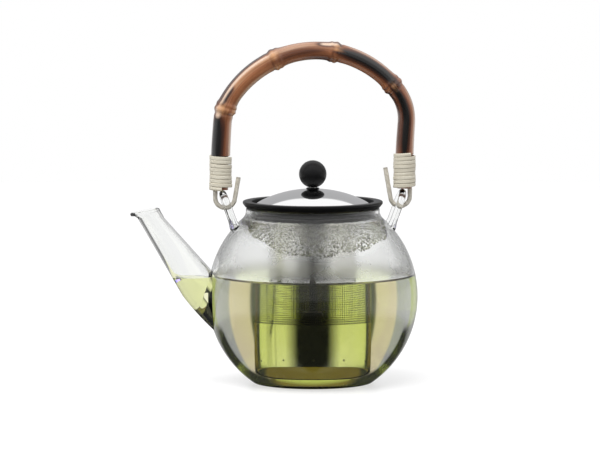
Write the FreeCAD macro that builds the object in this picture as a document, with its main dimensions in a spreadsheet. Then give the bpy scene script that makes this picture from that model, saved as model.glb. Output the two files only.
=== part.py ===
import FreeCAD, Part
import math
import os
import Sketcher

# A glass tea press: a blown globe with a spout and two lugs, a lift-out infuser, a domed lid with a plunger,
# and a bent bamboo handle hung from the lugs on two cane hooks. Millimetres, +Z up, spout towards -X.

doc = FreeCAD.newDocument("tea_press")
sheet = doc.addObject("Spreadsheet::Sheet", "Dims")

# Driving dimensions, in millimetres and degrees
DIMENSIONS = {
    # fits and overruns shared by several pieces
    "seat_gap": 0.3,
    "close_fit": 0.05,
    "loose_fit": 0.1,
    "overrun": 1,
    "thread_run": 0.8,
    # blown glass
    "globe_radius": 67.5,
    "base_radius": 38,
    "base_corner": 4,
    "glass_wall": 2.2,
    "floor_thickness": 3,
    "neck_radius": 43,
    "neck_blend": 7,
    "neck_height": 2,
    # spout
    "spout_root_lift": 1.2,
    "spout_rise": 54,
    "spout_lean": 36.2,
    "spout_root_radius": 13.4,
    "spout_mouth_radius": 6.9,
    "spout_wall": 1.8,
    "spout_heel_drop": 23,
    "spout_heel_inset": 20.5,
    "spout_lip_flare": 2,
    "spout_lip_tilt": 10,
    "spout_lip_height": 4,
    # lugs
    "lug_reach": 50.3,
    "lug_lean": 20,
    "lug_length": 22.7,
    "lug_width": 13,
    "lug_rod_radius": 2.3,
    "lug_root": 6,
    # collar, seal and infuser
    "collar_overhang": 2,
    "collar_height": 3.9,
    "collar_band": 5.4,
    "collar_edge": 0.8,
    "collar_draft": 0.6,
    "lip_foot": 0.2,
    "lid_recess": 2.9,
    "ledge_width": 6,
    "ledge_thickness": 2.2,
    "skirt_clearance": 0.9,
    "skirt_depth": 8,
    "skirt_wall": 2.6,
    "seal_height": 3,
    "seal_depth": 1.3,
    "basket_sheet": 0.5,
    "basket_bend": 1.5,
    "flange_clearance": 0.15,
    "basket_floor_gap": 16,
    "leaf_chamber": 25,
    "cap_rim": 6,
    "cap_floor": 0.6,
    "cap_bend": 1.5,
    "hole_radius": 1.55,
    "hole_rows": 7,
    "hole_columns": 20,
    "hole_row_pitch": 8,
    # lid
    "lid_clearance": 2.7,
    "dome_height": 9.6,
    "dome_edge": 0.8,
    "dome_sheet": 0.8,
    "hub_radius": 7,
    "hub_drop": 1,
    "guide_clearance": 0.5,
    "guide_wall": 2,
    "guide_lift": 0.6,
    "web_thickness": 1.6,
    "bush_radius": 3.4,
    "bush_flange": 4.4,
    "bush_flange_height": 0.7,
    "bush_nut_height": 3,
    "bush_nut_corner": 5.95,
    # plunger
    "rod_radius": 2.2,
    "rod_thread_step": 0.4,
    "rod_tip_gap": 0.2,
    "running_clearance": 0.1,
    "knob_radius": 8.85,
    "knob_flat": 0.4,
    "knob_socket": 7,
    "plate_radius": 25,
    "plate_clearance": 2.5,
    "plate_thickness": 3,
    "plate_drop": 1,
    "plate_hub_foot": 6.6,
    "plate_hub_top": 4.4,
    "plate_hub_height": 5,
    "gasket_height": 1.8,
    "gasket_depth": 1.4,
    "gasket_lip": 0.6,
    "plunger_nut_height": 3.2,
    "plunger_nut_corner": 4.6,
    # handle
    "eye_slack": 8.8,
    "hook_cane_radius": 1.45,
    "hook_radius": 6.3,
    "hook_shift": 1.46,
    "hook_shank": 15,
    "shank_offset": 3.5,
    "tail_lean": 10,
    "left_tail": 14.5,
    "right_tail": 20,
    "end_gap": 0.4,
    "cane_radius": 6,
    "tenon_radius": 4.85,
    "leg_length": 42.1,
    "shoulder_radius": 34,
    "crown_offset": 12.8,
    "joint_ridge": 1.3,
    "joint_bead": 0.9,
    "joint_spacing": 3.2,
    "left_low_joint": 15.4,
    "left_high_joint": 65.8,
    "right_high_joint": 78.8,
    "right_low_joint": 40.5,
    # rattan binding
    "strand_radius": 0.9,
    "strand_pitch": 2.35,
    "strand_clearance": 0.2,
    "strand_sides": 8,
    "binding_turns": 8,
}
# The basket is sized to the plate that runs in it
TIED = {
    "basket_radius": "=plate_radius + plate_clearance + basket_sheet",
}
for row, (alias, size) in enumerate({**DIMENSIONS, **TIED}.items(), start=1):
    sheet.set(f"A{row}", alias)
    sheet.set(f"B{row}", str(size))
    sheet.setAlias(f"B{row}", alias)
doc.recompute()


def value(expression):
    return float(sheet.evalExpression(expression))


# Worked heights and radii, as expressions on the sheet
GLOBE = "Dims.globe_radius"
BORE_GLOBE = "(Dims.globe_radius - Dims.glass_wall)"
CENTRE = "sqrt(Dims.globe_radius^2 - Dims.base_radius^2)"
CORNER = "Dims.base_corner"
FLAT = f"sqrt(({GLOBE} - {CORNER})^2 - ({CENTRE} - {CORNER})^2)"
BLEND_X = "(Dims.neck_radius + Dims.neck_blend)"
BLEND_Z = f"({CENTRE} + sqrt(({GLOBE} + Dims.neck_blend)^2 - {BLEND_X}^2))"
NECK_BORE = "(Dims.neck_radius - Dims.glass_wall)"
RIM = f"({BLEND_Z} + Dims.neck_height)"
COLLAR_BASE = f"({RIM} + Dims.seat_gap)"
COLLAR_TOP = f"({COLLAR_BASE} + Dims.collar_height)"
COLLAR_LIP = "(Dims.neck_radius + Dims.collar_overhang)"
BAND_INNER = f"({COLLAR_LIP} - Dims.collar_band)"
LEDGE = f"({COLLAR_TOP} - Dims.lid_recess)"
LEDGE_INNER = f"({BAND_INNER} - Dims.ledge_width)"
LEDGE_UNDER = f"({LEDGE} - Dims.ledge_thickness)"
SKIRT_OUTER = f"({NECK_BORE} - Dims.skirt_clearance)"
SKIRT_INNER = f"({SKIRT_OUTER} - Dims.skirt_wall)"
SKIRT_BOTTOM = f"({COLLAR_BASE} - Dims.skirt_depth)"
GROOVE_LOW = f"({COLLAR_BASE} - Dims.skirt_depth / 2 - Dims.seal_height / 2)"
GROOVE_HIGH = f"({GROOVE_LOW} + Dims.seal_height)"
GROOVE_INNER = f"({SKIRT_OUTER} - Dims.seal_depth)"
BASKET_INNER = "(Dims.basket_radius - Dims.basket_sheet)"
BASKET_BOTTOM = "(Dims.floor_thickness + Dims.basket_floor_gap)"
FLANGE_UNDER = f"({LEDGE_UNDER} - Dims.basket_sheet)"
LID_RADIUS = f"({BAND_INNER} - Dims.lid_clearance)"
LID_SEAT = f"({LEDGE} + Dims.seat_gap)"
DOME_FOOT = f"({LID_SEAT} + Dims.dome_edge)"
DOME_BALL = f"(({LID_RADIUS}^2 + Dims.dome_height^2) / (2 * Dims.dome_height))"
DOME_CENTRE = f"({DOME_FOOT} + Dims.dome_height - {DOME_BALL})"
DOME_INNER = f"({DOME_BALL} - Dims.dome_sheet)"
APEX = f"({DOME_FOOT} + Dims.dome_height)"
HUB_BOTTOM = f"({LID_SEAT} - Dims.hub_drop)"
BUSH_TOP = f"({APEX} + Dims.bush_flange_height)"
BUSH_BORE = "(Dims.rod_radius + Dims.running_clearance)"
KNOB_FOOT = f"({BUSH_TOP} + Dims.seat_gap)"
KNOB_CENTRE = f"({KNOB_FOOT} + Dims.knob_radius - Dims.knob_flat)"
PLATE_TOP = f"({BASKET_BOTTOM} + Dims.leaf_chamber - Dims.plate_drop)"
PLATE_BOTTOM = f"({PLATE_TOP} - Dims.plate_thickness)"
LUG_FOOT_Z = f"({CENTRE} + sqrt({GLOBE}^2 - Dims.lug_reach^2))"
LUG_TOP_X = "(Dims.lug_reach + Dims.lug_length * sin(Dims.lug_lean))"
LUG_TOP_Z = f"({LUG_FOOT_Z} + Dims.lug_length * cos(Dims.lug_lean))"
SWING_Z = f"({LUG_TOP_Z} - Dims.eye_slack)"
HOOK_X = f"({LUG_TOP_X} - Dims.hook_shift)"
HOOK_Z = f"({SWING_Z} + Dims.hook_radius)"
SHANK_X = f"({HOOK_X} + Dims.hook_radius)"
LEG_X = f"({SHANK_X} - Dims.shank_offset)"
CANE_END = f"({LUG_TOP_Z} + Dims.lug_rod_radius + Dims.end_gap)"
BINDING = "(Dims.strand_pitch * (Dims.binding_turns + 1))"
CANE_START = f"({CANE_END} + {BINDING})"
SPRING_Z = f"({CANE_END} + Dims.leg_length)"
ARCH_RISE = "(Dims.shoulder_radius + Dims.crown_offset)"
SHOULDER_X = f"({LEG_X} - Dims.shoulder_radius)"
CROWN = f"(({SHOULDER_X}^2 + {ARCH_RISE}^2 - Dims.shoulder_radius^2) / (2 * Dims.crown_offset))"
CROWN_Z = f"({SPRING_Z} + {ARCH_RISE} - {CROWN})"
MEET = f"({CROWN} / ({CROWN} - Dims.shoulder_radius))"
MEET_X = f"({SHOULDER_X} * {MEET})"
MEET_Z = f"({CROWN_Z} + ({SPRING_Z} - {CROWN_Z}) * {MEET})"


def lock(sketch, geometry, end, x=None, y=None):
    """Hold one point of a sketch line or arc at one or two expressions."""
    for kind, axis, expression in (("DistanceX", -2, x), ("DistanceY", -1, y)):
        if expression is None:
            continue
        if expression == "0":
            sketch.addConstraint(Sketcher.Constraint("PointOnObject", geometry, end, axis))
            continue
        index = sketch.addConstraint(Sketcher.Constraint(kind, -1, 1, geometry, end, value(expression)))
        sketch.setExpression(f"Constraints[{index}]", expression)


def outline(sketch, corners, closed=True):
    """Draw a chain of lines and arcs. A corner is (x, y) or (x, y, radius, centre x, centre y, turn)."""
    points = [FreeCAD.Vector(value(c[0]), value(c[1]), 0) for c in corners]
    last = len(corners) if closed else len(corners) - 1
    ends = []
    for i in range(last):
        start, stop = points[i], points[(i + 1) % len(points)]
        if len(corners[i]) == 2:
            geometry = sketch.addGeometry(Part.LineSegment(start, stop), False)
            ends.append((geometry, 1, 2))
            continue
        radius, cx, cy, turn = corners[i][2:]
        centre = FreeCAD.Vector(value(cx), value(cy), 0)
        circle = Part.Circle(centre, FreeCAD.Vector(0, 0, 1), value(radius))
        first, second = (start, stop) if turn == "left" else (stop, start)
        angles = [math.atan2(p.y - centre.y, p.x - centre.x) for p in (first, second)]
        geometry = sketch.addGeometry(Part.ArcOfCircle(circle, angles[0], angles[1]), False)
        ends.append((geometry, 1, 2) if turn == "left" else (geometry, 2, 1))
        if abs(stop.y - start.y) > abs(stop.x - start.x):
            lock(sketch, geometry, 3, x=cx)
        else:
            lock(sketch, geometry, 3, y=cy)
    for i, (geometry, begin, finish) in enumerate(ends):
        lock(sketch, geometry, begin, corners[i][0], corners[i][1])
        if closed or i + 1 < len(ends):
            follower = ends[(i + 1) % len(ends)]
            join = Sketcher.Constraint("Coincident", geometry, finish, follower[0], follower[1])
            sketch.addConstraint(join)
        else:
            lock(sketch, geometry, finish, corners[-1][0], corners[-1][1])


def plane_sketch(body, name, role):
    sketch = body.newObject("Sketcher::SketchObject", name)
    plane = [f for f in body.Origin.OriginFeatures if f.Role == role][0]
    sketch.AttachmentSupport = (plane, [""])
    sketch.MapMode = "FlatFace"
    return sketch


def turned(label, corners):
    """A body turned about the upright axis from an outline in the XZ plane."""
    body = doc.addObject("PartDesign::Body", label)
    sketch = plane_sketch(body, f"{label}_outline", "XZ_Plane")
    outline(sketch, corners)
    turn = body.newObject("PartDesign::Revolution", f"{label}_turn")
    turn.Profile = sketch
    turn.ReferenceAxis = (sketch, ["V_Axis"])
    turn.Angle = 360
    sketch.Visibility = False
    doc.recompute()
    return body


def place(item, x="0", y="0", z="0", axis=None, angle="0"):
    """Bind an object's placement to expressions, turned about one axis."""
    turn = FreeCAD.Rotation(axis, value(angle)) if axis else FreeCAD.Rotation()
    item.Placement = FreeCAD.Placement(FreeCAD.Vector(value(x), value(y), value(z)), turn)
    for part, expression in (("Base.x", x), ("Base.y", y), ("Base.z", z)):
        item.setExpression(f"Placement.{part}", expression)
    if axis:
        item.setExpression("Placement.Rotation.Angle", angle)


def primitive(kind, name, **sizes):
    item = doc.addObject(f"Part::{kind}", name)
    for size, expression in sizes.items():
        item.setExpression(size, expression)
    return item


def cut(name, base, tool):
    item = doc.addObject("Part::Cut", name)
    item.Base = base
    item.Tool = tool
    return item


def fuse(name, shapes):
    item = doc.addObject("Part::MultiFuse", name)
    item.Shapes = shapes
    return item


def swept(name, path, section):
    item = doc.addObject("Part::Sweep", name)
    item.Sections = [section]
    item.Spine = (path, [f"Edge{i + 1}" for i in range(path.GeometryCount)])
    item.Solid = True
    item.Frenet = False
    return item


def route(name, corners, turn):
    """An open path of lines and tangent arcs in its own plane."""
    sketch = doc.addObject("Sketcher::SketchObject", name)
    sketch.Placement = FreeCAD.Placement(FreeCAD.Vector(), turn)
    outline(sketch, corners, closed=False)
    doc.recompute()
    return sketch


UPRIGHT = FreeCAD.Vector(0, 0, 1)
ACROSS = FreeCAD.Vector(0, 1, 0)
IN_XZ = FreeCAD.Rotation(FreeCAD.Vector(1, 0, 0), 90)
IN_YZ = FreeCAD.Rotation(FreeCAD.Vector(1, 1, 1), 120)
PIECES = {}

# Glass globe with its flat base, neck and rounded rim
on_blend = f"{GLOBE} / ({GLOBE} + Dims.neck_blend)"
in_blend = f"{BORE_GLOBE} / ({GLOBE} + Dims.neck_blend)"
on_corner = f"{GLOBE} / ({GLOBE} - {CORNER})"
bead = "Dims.glass_wall / 2"
globe = turned("globe_blank", [
    ("0", "0"),
    (FLAT, "0", CORNER, FLAT, CORNER, "left"),
    (f"{FLAT} * {on_corner}", f"{CENTRE} - ({CENTRE} - {CORNER}) * {on_corner}", GLOBE, "0", CENTRE, "left"),
    (f"{BLEND_X} * {on_blend}", f"{CENTRE} + ({BLEND_Z} - {CENTRE}) * {on_blend}",
     "Dims.neck_blend", BLEND_X, BLEND_Z, "right"),
    ("Dims.neck_radius", BLEND_Z),
    ("Dims.neck_radius", f"{RIM} - {bead}", bead, f"Dims.neck_radius - {bead}", f"{RIM} - {bead}", "left"),
    (NECK_BORE, f"{RIM} - {bead}"),
    (NECK_BORE, BLEND_Z, "Dims.neck_blend + Dims.glass_wall", BLEND_X, BLEND_Z, "left"),
    (f"{BLEND_X} * {in_blend}", f"{CENTRE} + ({BLEND_Z} - {CENTRE}) * {in_blend}",
     BORE_GLOBE, "0", CENTRE, "right"),
    (f"sqrt({BORE_GLOBE}^2 - ({CENTRE} - Dims.floor_thickness)^2)", "Dims.floor_thickness"),
    ("0", "Dims.floor_thickness"),
])

# Spout: lofts through level ovals along a leaning axis, trimmed where it is fused to the globe
SPOUT_Z = f"({CENTRE} + Dims.spout_root_lift)"
TAPER = "(Dims.spout_root_radius - Dims.spout_mouth_radius)"


def oval(name, x, z, radius, widen="0", tilt="0"):
    ring = primitive("Ellipse", name, MajorRadius=f"({radius}) / cos(Dims.spout_lean) + ({widen})",
                     MinorRadius=radius)
    place(ring, x=x, z=z, axis=ACROSS, angle=tilt)
    return ring


def loft(name, rings, ruled):
    item = doc.addObject("Part::Loft", name)
    item.Sections = rings
    item.Solid = True
    item.Ruled = ruled
    return item


def spout_form(name, inset):
    """The tapered tube from its drawn-in heel to the mouth, and the short flared lip on top."""
    rings = [oval(f"{name}_heel", f"-({GLOBE} - Dims.spout_heel_inset)", f"{SPOUT_Z} - Dims.spout_heel_drop",
                  f"Dims.spout_root_radius - {inset}")]
    for step in (0, 0.5, 1):
        along = f"{step} * (Dims.spout_rise - Dims.spout_lip_height)"
        rings.append(oval(f"{name}_ring_{int(step * 100)}", f"-({GLOBE} + {along} * tan(Dims.spout_lean))",
                          f"{SPOUT_Z} + {along}", f"Dims.spout_root_radius - {step} * {TAPER} - {inset}"))
    lip_x = f"-({GLOBE} + Dims.spout_rise * tan(Dims.spout_lean) + Dims.spout_lip_flare / 2)"
    lip = oval(f"{name}_lip", lip_x, f"{SPOUT_Z} + Dims.spout_rise", f"Dims.spout_mouth_radius - {inset}",
               "Dims.spout_lip_flare / 2", "-Dims.spout_lip_tilt")
    return fuse(name, [loft(f"{name}_tube", rings, False), loft(f"{name}_mouth", [rings[-1], lip], True)])


ball = primitive("Sphere", "globe_ball", Radius=GLOBE)
place(ball, z=CENTRE)
spout_outside = spout_form("spout_outside", "0")
spout_bore = spout_form("spout_bore", "Dims.spout_wall")
PIECES["spout"] = cut("spout", cut("spout_tube", spout_outside, spout_bore), ball)
PIECES["glass_body"] = cut("glass_body", globe, spout_bore)

# Lugs: glass rods bent into leaning loops on the shoulders
half = "Dims.lug_width / 2"
straight = f"Dims.lug_length - {half}"
loop_path = route("lug_path", [
    (f"-{half}", "-Dims.lug_root"),
    (f"-{half}", straight, half, "0", straight, "right"),
    (half, straight),
    (half, "-Dims.lug_root"),
], IN_YZ)
loop_ring = primitive("Circle", "lug_ring", Radius="Dims.lug_rod_radius")
place(loop_ring, y=f"-{half}", z="-Dims.lug_root")
loop = swept("lug_loop", loop_path, loop_ring)
place(loop, x="Dims.lug_reach", z=LUG_FOOT_Z, axis=ACROSS, angle="Dims.lug_lean")
PIECES["right_lug"] = cut("right_lug", loop, ball)
left_lug = doc.addObject("Part::Mirroring", "left_lug")
left_lug.Source = PIECES["right_lug"]
left_lug.Normal = FreeCAD.Vector(1, 0, 0)
PIECES["left_lug"] = left_lug

# Collar that rests on the glass rim and carries the basket below and the lid above
edge = "Dims.collar_edge"
PIECES["filter_collar"] = turned("filter_collar", [
    (BAND_INNER, COLLAR_TOP),
    (f"{BAND_INNER} - Dims.collar_draft", LEDGE),
    (LEDGE_INNER, LEDGE),
    (LEDGE_INNER, LEDGE_UNDER),
    (SKIRT_INNER, LEDGE_UNDER),
    (SKIRT_INNER, SKIRT_BOTTOM),
    (SKIRT_OUTER, SKIRT_BOTTOM),
    (SKIRT_OUTER, GROOVE_LOW),
    (GROOVE_INNER, GROOVE_LOW),
    (GROOVE_INNER, GROOVE_HIGH),
    (SKIRT_OUTER, GROOVE_HIGH),
    (SKIRT_OUTER, COLLAR_BASE),
    ("Dims.neck_radius + Dims.lip_foot", COLLAR_BASE),
    (COLLAR_LIP, f"{COLLAR_TOP} - 2 * {edge}"),
    (COLLAR_LIP, f"{COLLAR_TOP} - {edge}", edge, f"{COLLAR_LIP} - {edge}", f"{COLLAR_TOP} - {edge}", "left"),
    (f"{COLLAR_LIP} - {edge}", COLLAR_TOP),
])

# Soft ring in the collar's groove that grips the inside of the neck
slack = "Dims.loose_fit"
PIECES["neck_seal"] = turned("neck_seal", [
    (f"{GROOVE_INNER} + Dims.close_fit", f"{GROOVE_LOW} + {slack}"),
    (f"{SKIRT_OUTER} + {slack}", f"{GROOVE_LOW} + {slack}"),
    (f"{NECK_BORE} - Dims.seat_gap", f"{GROOVE_LOW} + Dims.seal_height / 2"),
    (f"{SKIRT_OUTER} + {slack}", f"{GROOVE_HIGH} - {slack}"),
    (f"{GROOVE_INNER} + Dims.close_fit", f"{GROOVE_HIGH} - {slack}"),
])

# Sheet-steel basket: a flanged tube, perforated above the closed leaf chamber
bend_x = "(Dims.basket_radius + Dims.basket_bend)"
bend_z = f"({FLANGE_UNDER} - Dims.basket_bend)"
flange_edge = f"({SKIRT_INNER} - Dims.flange_clearance)"
basket = turned("filter_basket", [
    (BASKET_INNER, BASKET_BOTTOM),
    ("Dims.basket_radius", BASKET_BOTTOM),
    ("Dims.basket_radius", bend_z, "Dims.basket_bend", bend_x, bend_z, "right"),
    (bend_x, FLANGE_UNDER),
    (flange_edge, FLANGE_UNDER),
    (flange_edge, LEDGE_UNDER),
    (bend_x, LEDGE_UNDER, "Dims.basket_bend + Dims.basket_sheet", bend_x, bend_z, "left"),
    (BASKET_INNER, bend_z),
])
hole = plane_sketch(basket, "hole_outline", "XZ_Plane")
HOLE_PLANE = "Dims.basket_radius + Dims.overrun"
hole.AttachmentOffset = FreeCAD.Placement(FreeCAD.Vector(0, 0, value(HOLE_PLANE)), FreeCAD.Rotation())
hole.setExpression("AttachmentOffset.Base.z", HOLE_PLANE)
HOLE_Z = f"({BASKET_BOTTOM} + Dims.leaf_chamber + Dims.hole_row_pitch / 2)"
hole_half = "Dims.hole_radius / sqrt(2)"
outline(hole, [
    (f"-{hole_half}", f"{HOLE_Z} - {hole_half}"),
    (hole_half, f"{HOLE_Z} - {hole_half}"),
    (hole_half, f"{HOLE_Z} + {hole_half}"),
    (f"-{hole_half}", f"{HOLE_Z} + {hole_half}"),
])
first_hole = basket.newObject("PartDesign::Pocket", "first_hole")
first_hole.Profile = hole
first_hole.setExpression("Length", "Dims.basket_sheet + 2 * Dims.overrun")
doc.recompute()
holes = basket.newObject("PartDesign::MultiTransform", "holes")
rows = basket.newObject("PartDesign::LinearPattern", "hole_rows")
rows.Direction = (hole, ["V_Axis"])
rows.setExpression("Length", "Dims.hole_row_pitch * (Dims.hole_rows - 1)")
rows.setExpression("Occurrences", "Dims.hole_rows")
columns = basket.newObject("PartDesign::PolarPattern", "hole_columns")
columns.Axis = ([f for f in basket.Origin.OriginFeatures if f.Role == "Z_Axis"][0], [""])
columns.Angle = 360
columns.setExpression("Occurrences", "Dims.hole_columns")
holes.Originals = [first_hole]
holes.Transformations = [rows, columns]
basket.Tip = holes
PIECES["filter_basket"] = basket

# Cupped steel cap that closes the foot of the basket
cap_outer = f"({BASKET_INNER} - Dims.close_fit)"
cap_inner = f"({cap_outer} - Dims.basket_sheet)"
cap_floor = f"({BASKET_BOTTOM} + Dims.cap_floor)"
cap_bend_z = f"({BASKET_BOTTOM} + Dims.cap_bend)"
cap_round = f"({cap_outer} - Dims.cap_bend)"
floor_bend = "(Dims.cap_bend - Dims.cap_floor)"
PIECES["filter_cap"] = turned("filter_cap", [
    ("0", BASKET_BOTTOM),
    (cap_round, BASKET_BOTTOM, "Dims.cap_bend", cap_round, cap_bend_z, "left"),
    (cap_outer, cap_bend_z),
    (cap_outer, f"{BASKET_BOTTOM} + Dims.cap_rim"),
    (cap_inner, f"{BASKET_BOTTOM} + Dims.cap_rim"),
    (cap_inner, cap_bend_z, floor_bend, f"{cap_inner} - {floor_bend}", cap_bend_z, "right"),
    (f"{cap_inner} - {floor_bend}", cap_floor),
    ("0", cap_floor),
])

# Domed lid of polished sheet steel
lid_inner = f"({LID_RADIUS} - Dims.dome_sheet)"
hole_edge = "(Dims.bush_radius + Dims.loose_fit)"
PIECES["lid_dome"] = turned("lid_dome", [
    (hole_edge, f"{DOME_CENTRE} + sqrt({DOME_INNER}^2 - {hole_edge}^2)",
     DOME_INNER, "0", DOME_CENTRE, "right"),
    (lid_inner, f"{DOME_CENTRE} + sqrt({DOME_INNER}^2 - {lid_inner}^2)"),
    (lid_inner, LID_SEAT),
    (LID_RADIUS, LID_SEAT),
    (LID_RADIUS, DOME_FOOT, DOME_BALL, "0", DOME_CENTRE, "left"),
    (hole_edge, f"{DOME_CENTRE} + sqrt({DOME_BALL}^2 - {hole_edge}^2)"),
])

# Moulded insert under the dome, with a locating skirt and a hub
insert_edge = f"({lid_inner} - 2 * Dims.loose_fit)"
guide_outer = f"({LEDGE_INNER} - Dims.guide_clearance)"
guide_inner = f"({guide_outer} - Dims.guide_wall)"
guide_end = f"({LEDGE_UNDER} + Dims.guide_lift)"
hub_top = f"{DOME_CENTRE} + sqrt({DOME_INNER}^2 - Dims.hub_radius^2) - Dims.loose_fit"
web_top = f"({LID_SEAT} + Dims.web_thickness)"
PIECES["lid_insert"] = turned("lid_insert", [
    (hole_edge, HUB_BOTTOM),
    ("Dims.hub_radius", HUB_BOTTOM),
    ("Dims.hub_radius", LID_SEAT),
    (guide_inner, LID_SEAT),
    (guide_inner, guide_end),
    (guide_outer, guide_end),
    (guide_outer, LID_SEAT),
    (insert_edge, LID_SEAT),
    (insert_edge, f"{LID_SEAT} + Dims.dome_edge / 2"),
    (guide_outer, web_top),
    ("Dims.hub_radius", web_top),
    ("Dims.hub_radius", hub_top),
    (hole_edge, hub_top),
])

# Flanged bush that clamps dome to insert and guides the rod, with its nut
thread_end = f"({HUB_BOTTOM} - Dims.bush_nut_height - Dims.thread_run)"
PIECES["rod_bush"] = turned("rod_bush", [
    (BUSH_BORE, thread_end),
    ("Dims.bush_radius", thread_end),
    ("Dims.bush_radius", APEX),
    ("Dims.bush_flange", APEX),
    (f"Dims.bush_flange - {bead} / 2", BUSH_TOP),
    (BUSH_BORE, BUSH_TOP),
])


def hex_nut(label, across_corner, bore, bottom, height):
    blank = primitive("Prism", f"{label}_blank", Circumradius=across_corner, Height=height)
    blank.Polygon = 6
    place(blank, z=bottom)
    drill = primitive("Cylinder", f"{label}_drill", Radius=bore, Height=f"{height} + 2 * Dims.overrun")
    place(drill, z=f"{bottom} - Dims.overrun")
    return cut(label, blank, drill)


PIECES["bush_nut"] = hex_nut("bush_nut", "Dims.bush_nut_corner", "Dims.bush_radius + Dims.close_fit",
                             f"{HUB_BOTTOM} - Dims.bush_nut_height", "Dims.bush_nut_height")

# Ball knob with a flat foot and a socket for the rod
ball_foot = "sqrt(Dims.knob_radius^2 - (Dims.knob_radius - Dims.knob_flat)^2)"
socket = "(Dims.rod_radius + Dims.close_fit)"
socket_end = f"({KNOB_FOOT} + Dims.knob_socket)"
PIECES["knob"] = turned("knob", [
    ("0", socket_end),
    (socket, socket_end),
    (socket, KNOB_FOOT),
    (ball_foot, KNOB_FOOT, "Dims.knob_radius", "0", KNOB_CENTRE, "left"),
    ("0", f"{KNOB_CENTRE} + Dims.knob_radius"),
])

# Plunger rod, stepped down to its thread where it passes through the plate
rod_thread = "(Dims.rod_radius - Dims.rod_thread_step)"
rod_step = f"({PLATE_TOP} + Dims.plate_hub_height)"
rod_end = f"({PLATE_BOTTOM} - Dims.plunger_nut_height - Dims.thread_run)"
rod_tip = f"({socket_end} - Dims.rod_tip_gap)"
PIECES["plunger_rod"] = turned("plunger_rod", [
    ("0", rod_end),
    (f"{rod_thread} - Dims.rod_thread_step", rod_end),
    (rod_thread, f"{rod_end} + Dims.rod_thread_step"),
    (rod_thread, rod_step),
    ("Dims.rod_radius", rod_step),
    ("Dims.rod_radius", f"{rod_tip} - Dims.rod_thread_step"),
    (rod_thread, rod_tip),
    ("0", rod_tip),
])

# Pressing plate with a grooved rim, its soft gasket and its nut
plate_mid = f"({PLATE_BOTTOM} + Dims.plate_thickness / 2)"
rim_low = f"({plate_mid} - Dims.gasket_height / 2)"
rim_high = f"({plate_mid} + Dims.gasket_height / 2)"
rim_inner = "(Dims.plate_radius - Dims.gasket_depth)"
plate_bore = f"({rod_thread} + Dims.close_fit)"
PIECES["plunger_plate"] = turned("plunger_plate", [
    (plate_bore, PLATE_BOTTOM),
    ("Dims.plate_radius", PLATE_BOTTOM),
    ("Dims.plate_radius", rim_low),
    (rim_inner, rim_low),
    (rim_inner, rim_high),
    ("Dims.plate_radius", rim_high),
    ("Dims.plate_radius", PLATE_TOP),
    ("Dims.plate_hub_foot", PLATE_TOP),
    ("Dims.plate_hub_top", rod_step),
    (plate_bore, rod_step),
])
PIECES["plunger_gasket"] = turned("plunger_gasket", [
    (f"{rim_inner} + Dims.close_fit", f"{rim_low} + Dims.close_fit"),
    (f"Dims.plate_radius + {slack}", f"{rim_low} + Dims.close_fit"),
    (f"{BASKET_INNER} - Dims.seat_gap", f"{rim_high} + {slack}"),
    (f"{BASKET_INNER} - Dims.seat_gap", f"{rim_high} + {slack} + Dims.gasket_lip"),
    (f"Dims.plate_radius + {slack}", f"{rim_high} - Dims.close_fit"),
    (f"{rim_inner} + Dims.close_fit", f"{rim_high} - Dims.close_fit"),
])
PIECES["plunger_nut"] = hex_nut("plunger_nut", "Dims.plunger_nut_corner", plate_bore,
                                f"{PLATE_BOTTOM} - Dims.plunger_nut_height", "Dims.plunger_nut_height")

# Bamboo handle: a three-centred arch with four joints in the cane and turned-down ends
arch_path = route("arch_path", [
    (f"-{LEG_X}", CANE_START),
    (f"-{LEG_X}", SPRING_Z, "Dims.shoulder_radius", f"-{SHOULDER_X}", SPRING_Z, "right"),
    (f"-{MEET_X}", MEET_Z, CROWN, "0", CROWN_Z, "right"),
    (MEET_X, MEET_Z, "Dims.shoulder_radius", SHOULDER_X, SPRING_Z, "right"),
    (LEG_X, SPRING_Z),
    (LEG_X, CANE_START),
], IN_XZ)
arch_ring = primitive("Circle", "arch_ring", Radius="Dims.cane_radius")
place(arch_ring, x=f"-{LEG_X}", z=CANE_START)
cane = [swept("arch_cane", arch_path, arch_ring)]
for side, sign in (("left", "-1"), ("right", "1")):
    tenon = primitive("Cylinder", f"{side}_tenon", Radius="Dims.tenon_radius",
                      Height=f"{BINDING} + Dims.overrun")
    place(tenon, x=f"{sign} * {LEG_X}", z=CANE_END)
    cane.append(tenon)


def joint_rings(name, x, z, radius, angle, side):
    """A ridge and a bead round the cane, at an angle along one arc of the arch."""
    for ring_name, size, step in (("ridge", "Dims.joint_ridge", "0"), ("bead", "Dims.joint_bead", "1")):
        swing = f"({angle} + {step} * Dims.joint_spacing / {radius} * 180 / pi)"
        turn = f"-1 * {swing}" if side == 1 else swing
        torus = primitive("Torus", f"{name}_{ring_name}",
                          Radius1=f"Dims.cane_radius - {size} / 2", Radius2=size)
        place(torus, x=f"{side} * (({x}) + {radius} * cos({swing}))", z=f"{z} + {radius} * sin({swing})",
              axis=ACROSS, angle=turn)
        cane.append(torus)


joint_rings("left_low", SHOULDER_X, SPRING_Z, "Dims.shoulder_radius", "Dims.left_low_joint", -1)
joint_rings("left_high", "0", CROWN_Z, CROWN, "Dims.left_high_joint", -1)
joint_rings("right_high", "0", CROWN_Z, CROWN, "Dims.right_high_joint", 1)
joint_rings("right_low", "0", CROWN_Z, CROWN, "Dims.right_low_joint", 1)
whole_cane = fuse("whole_cane", cane)

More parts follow.
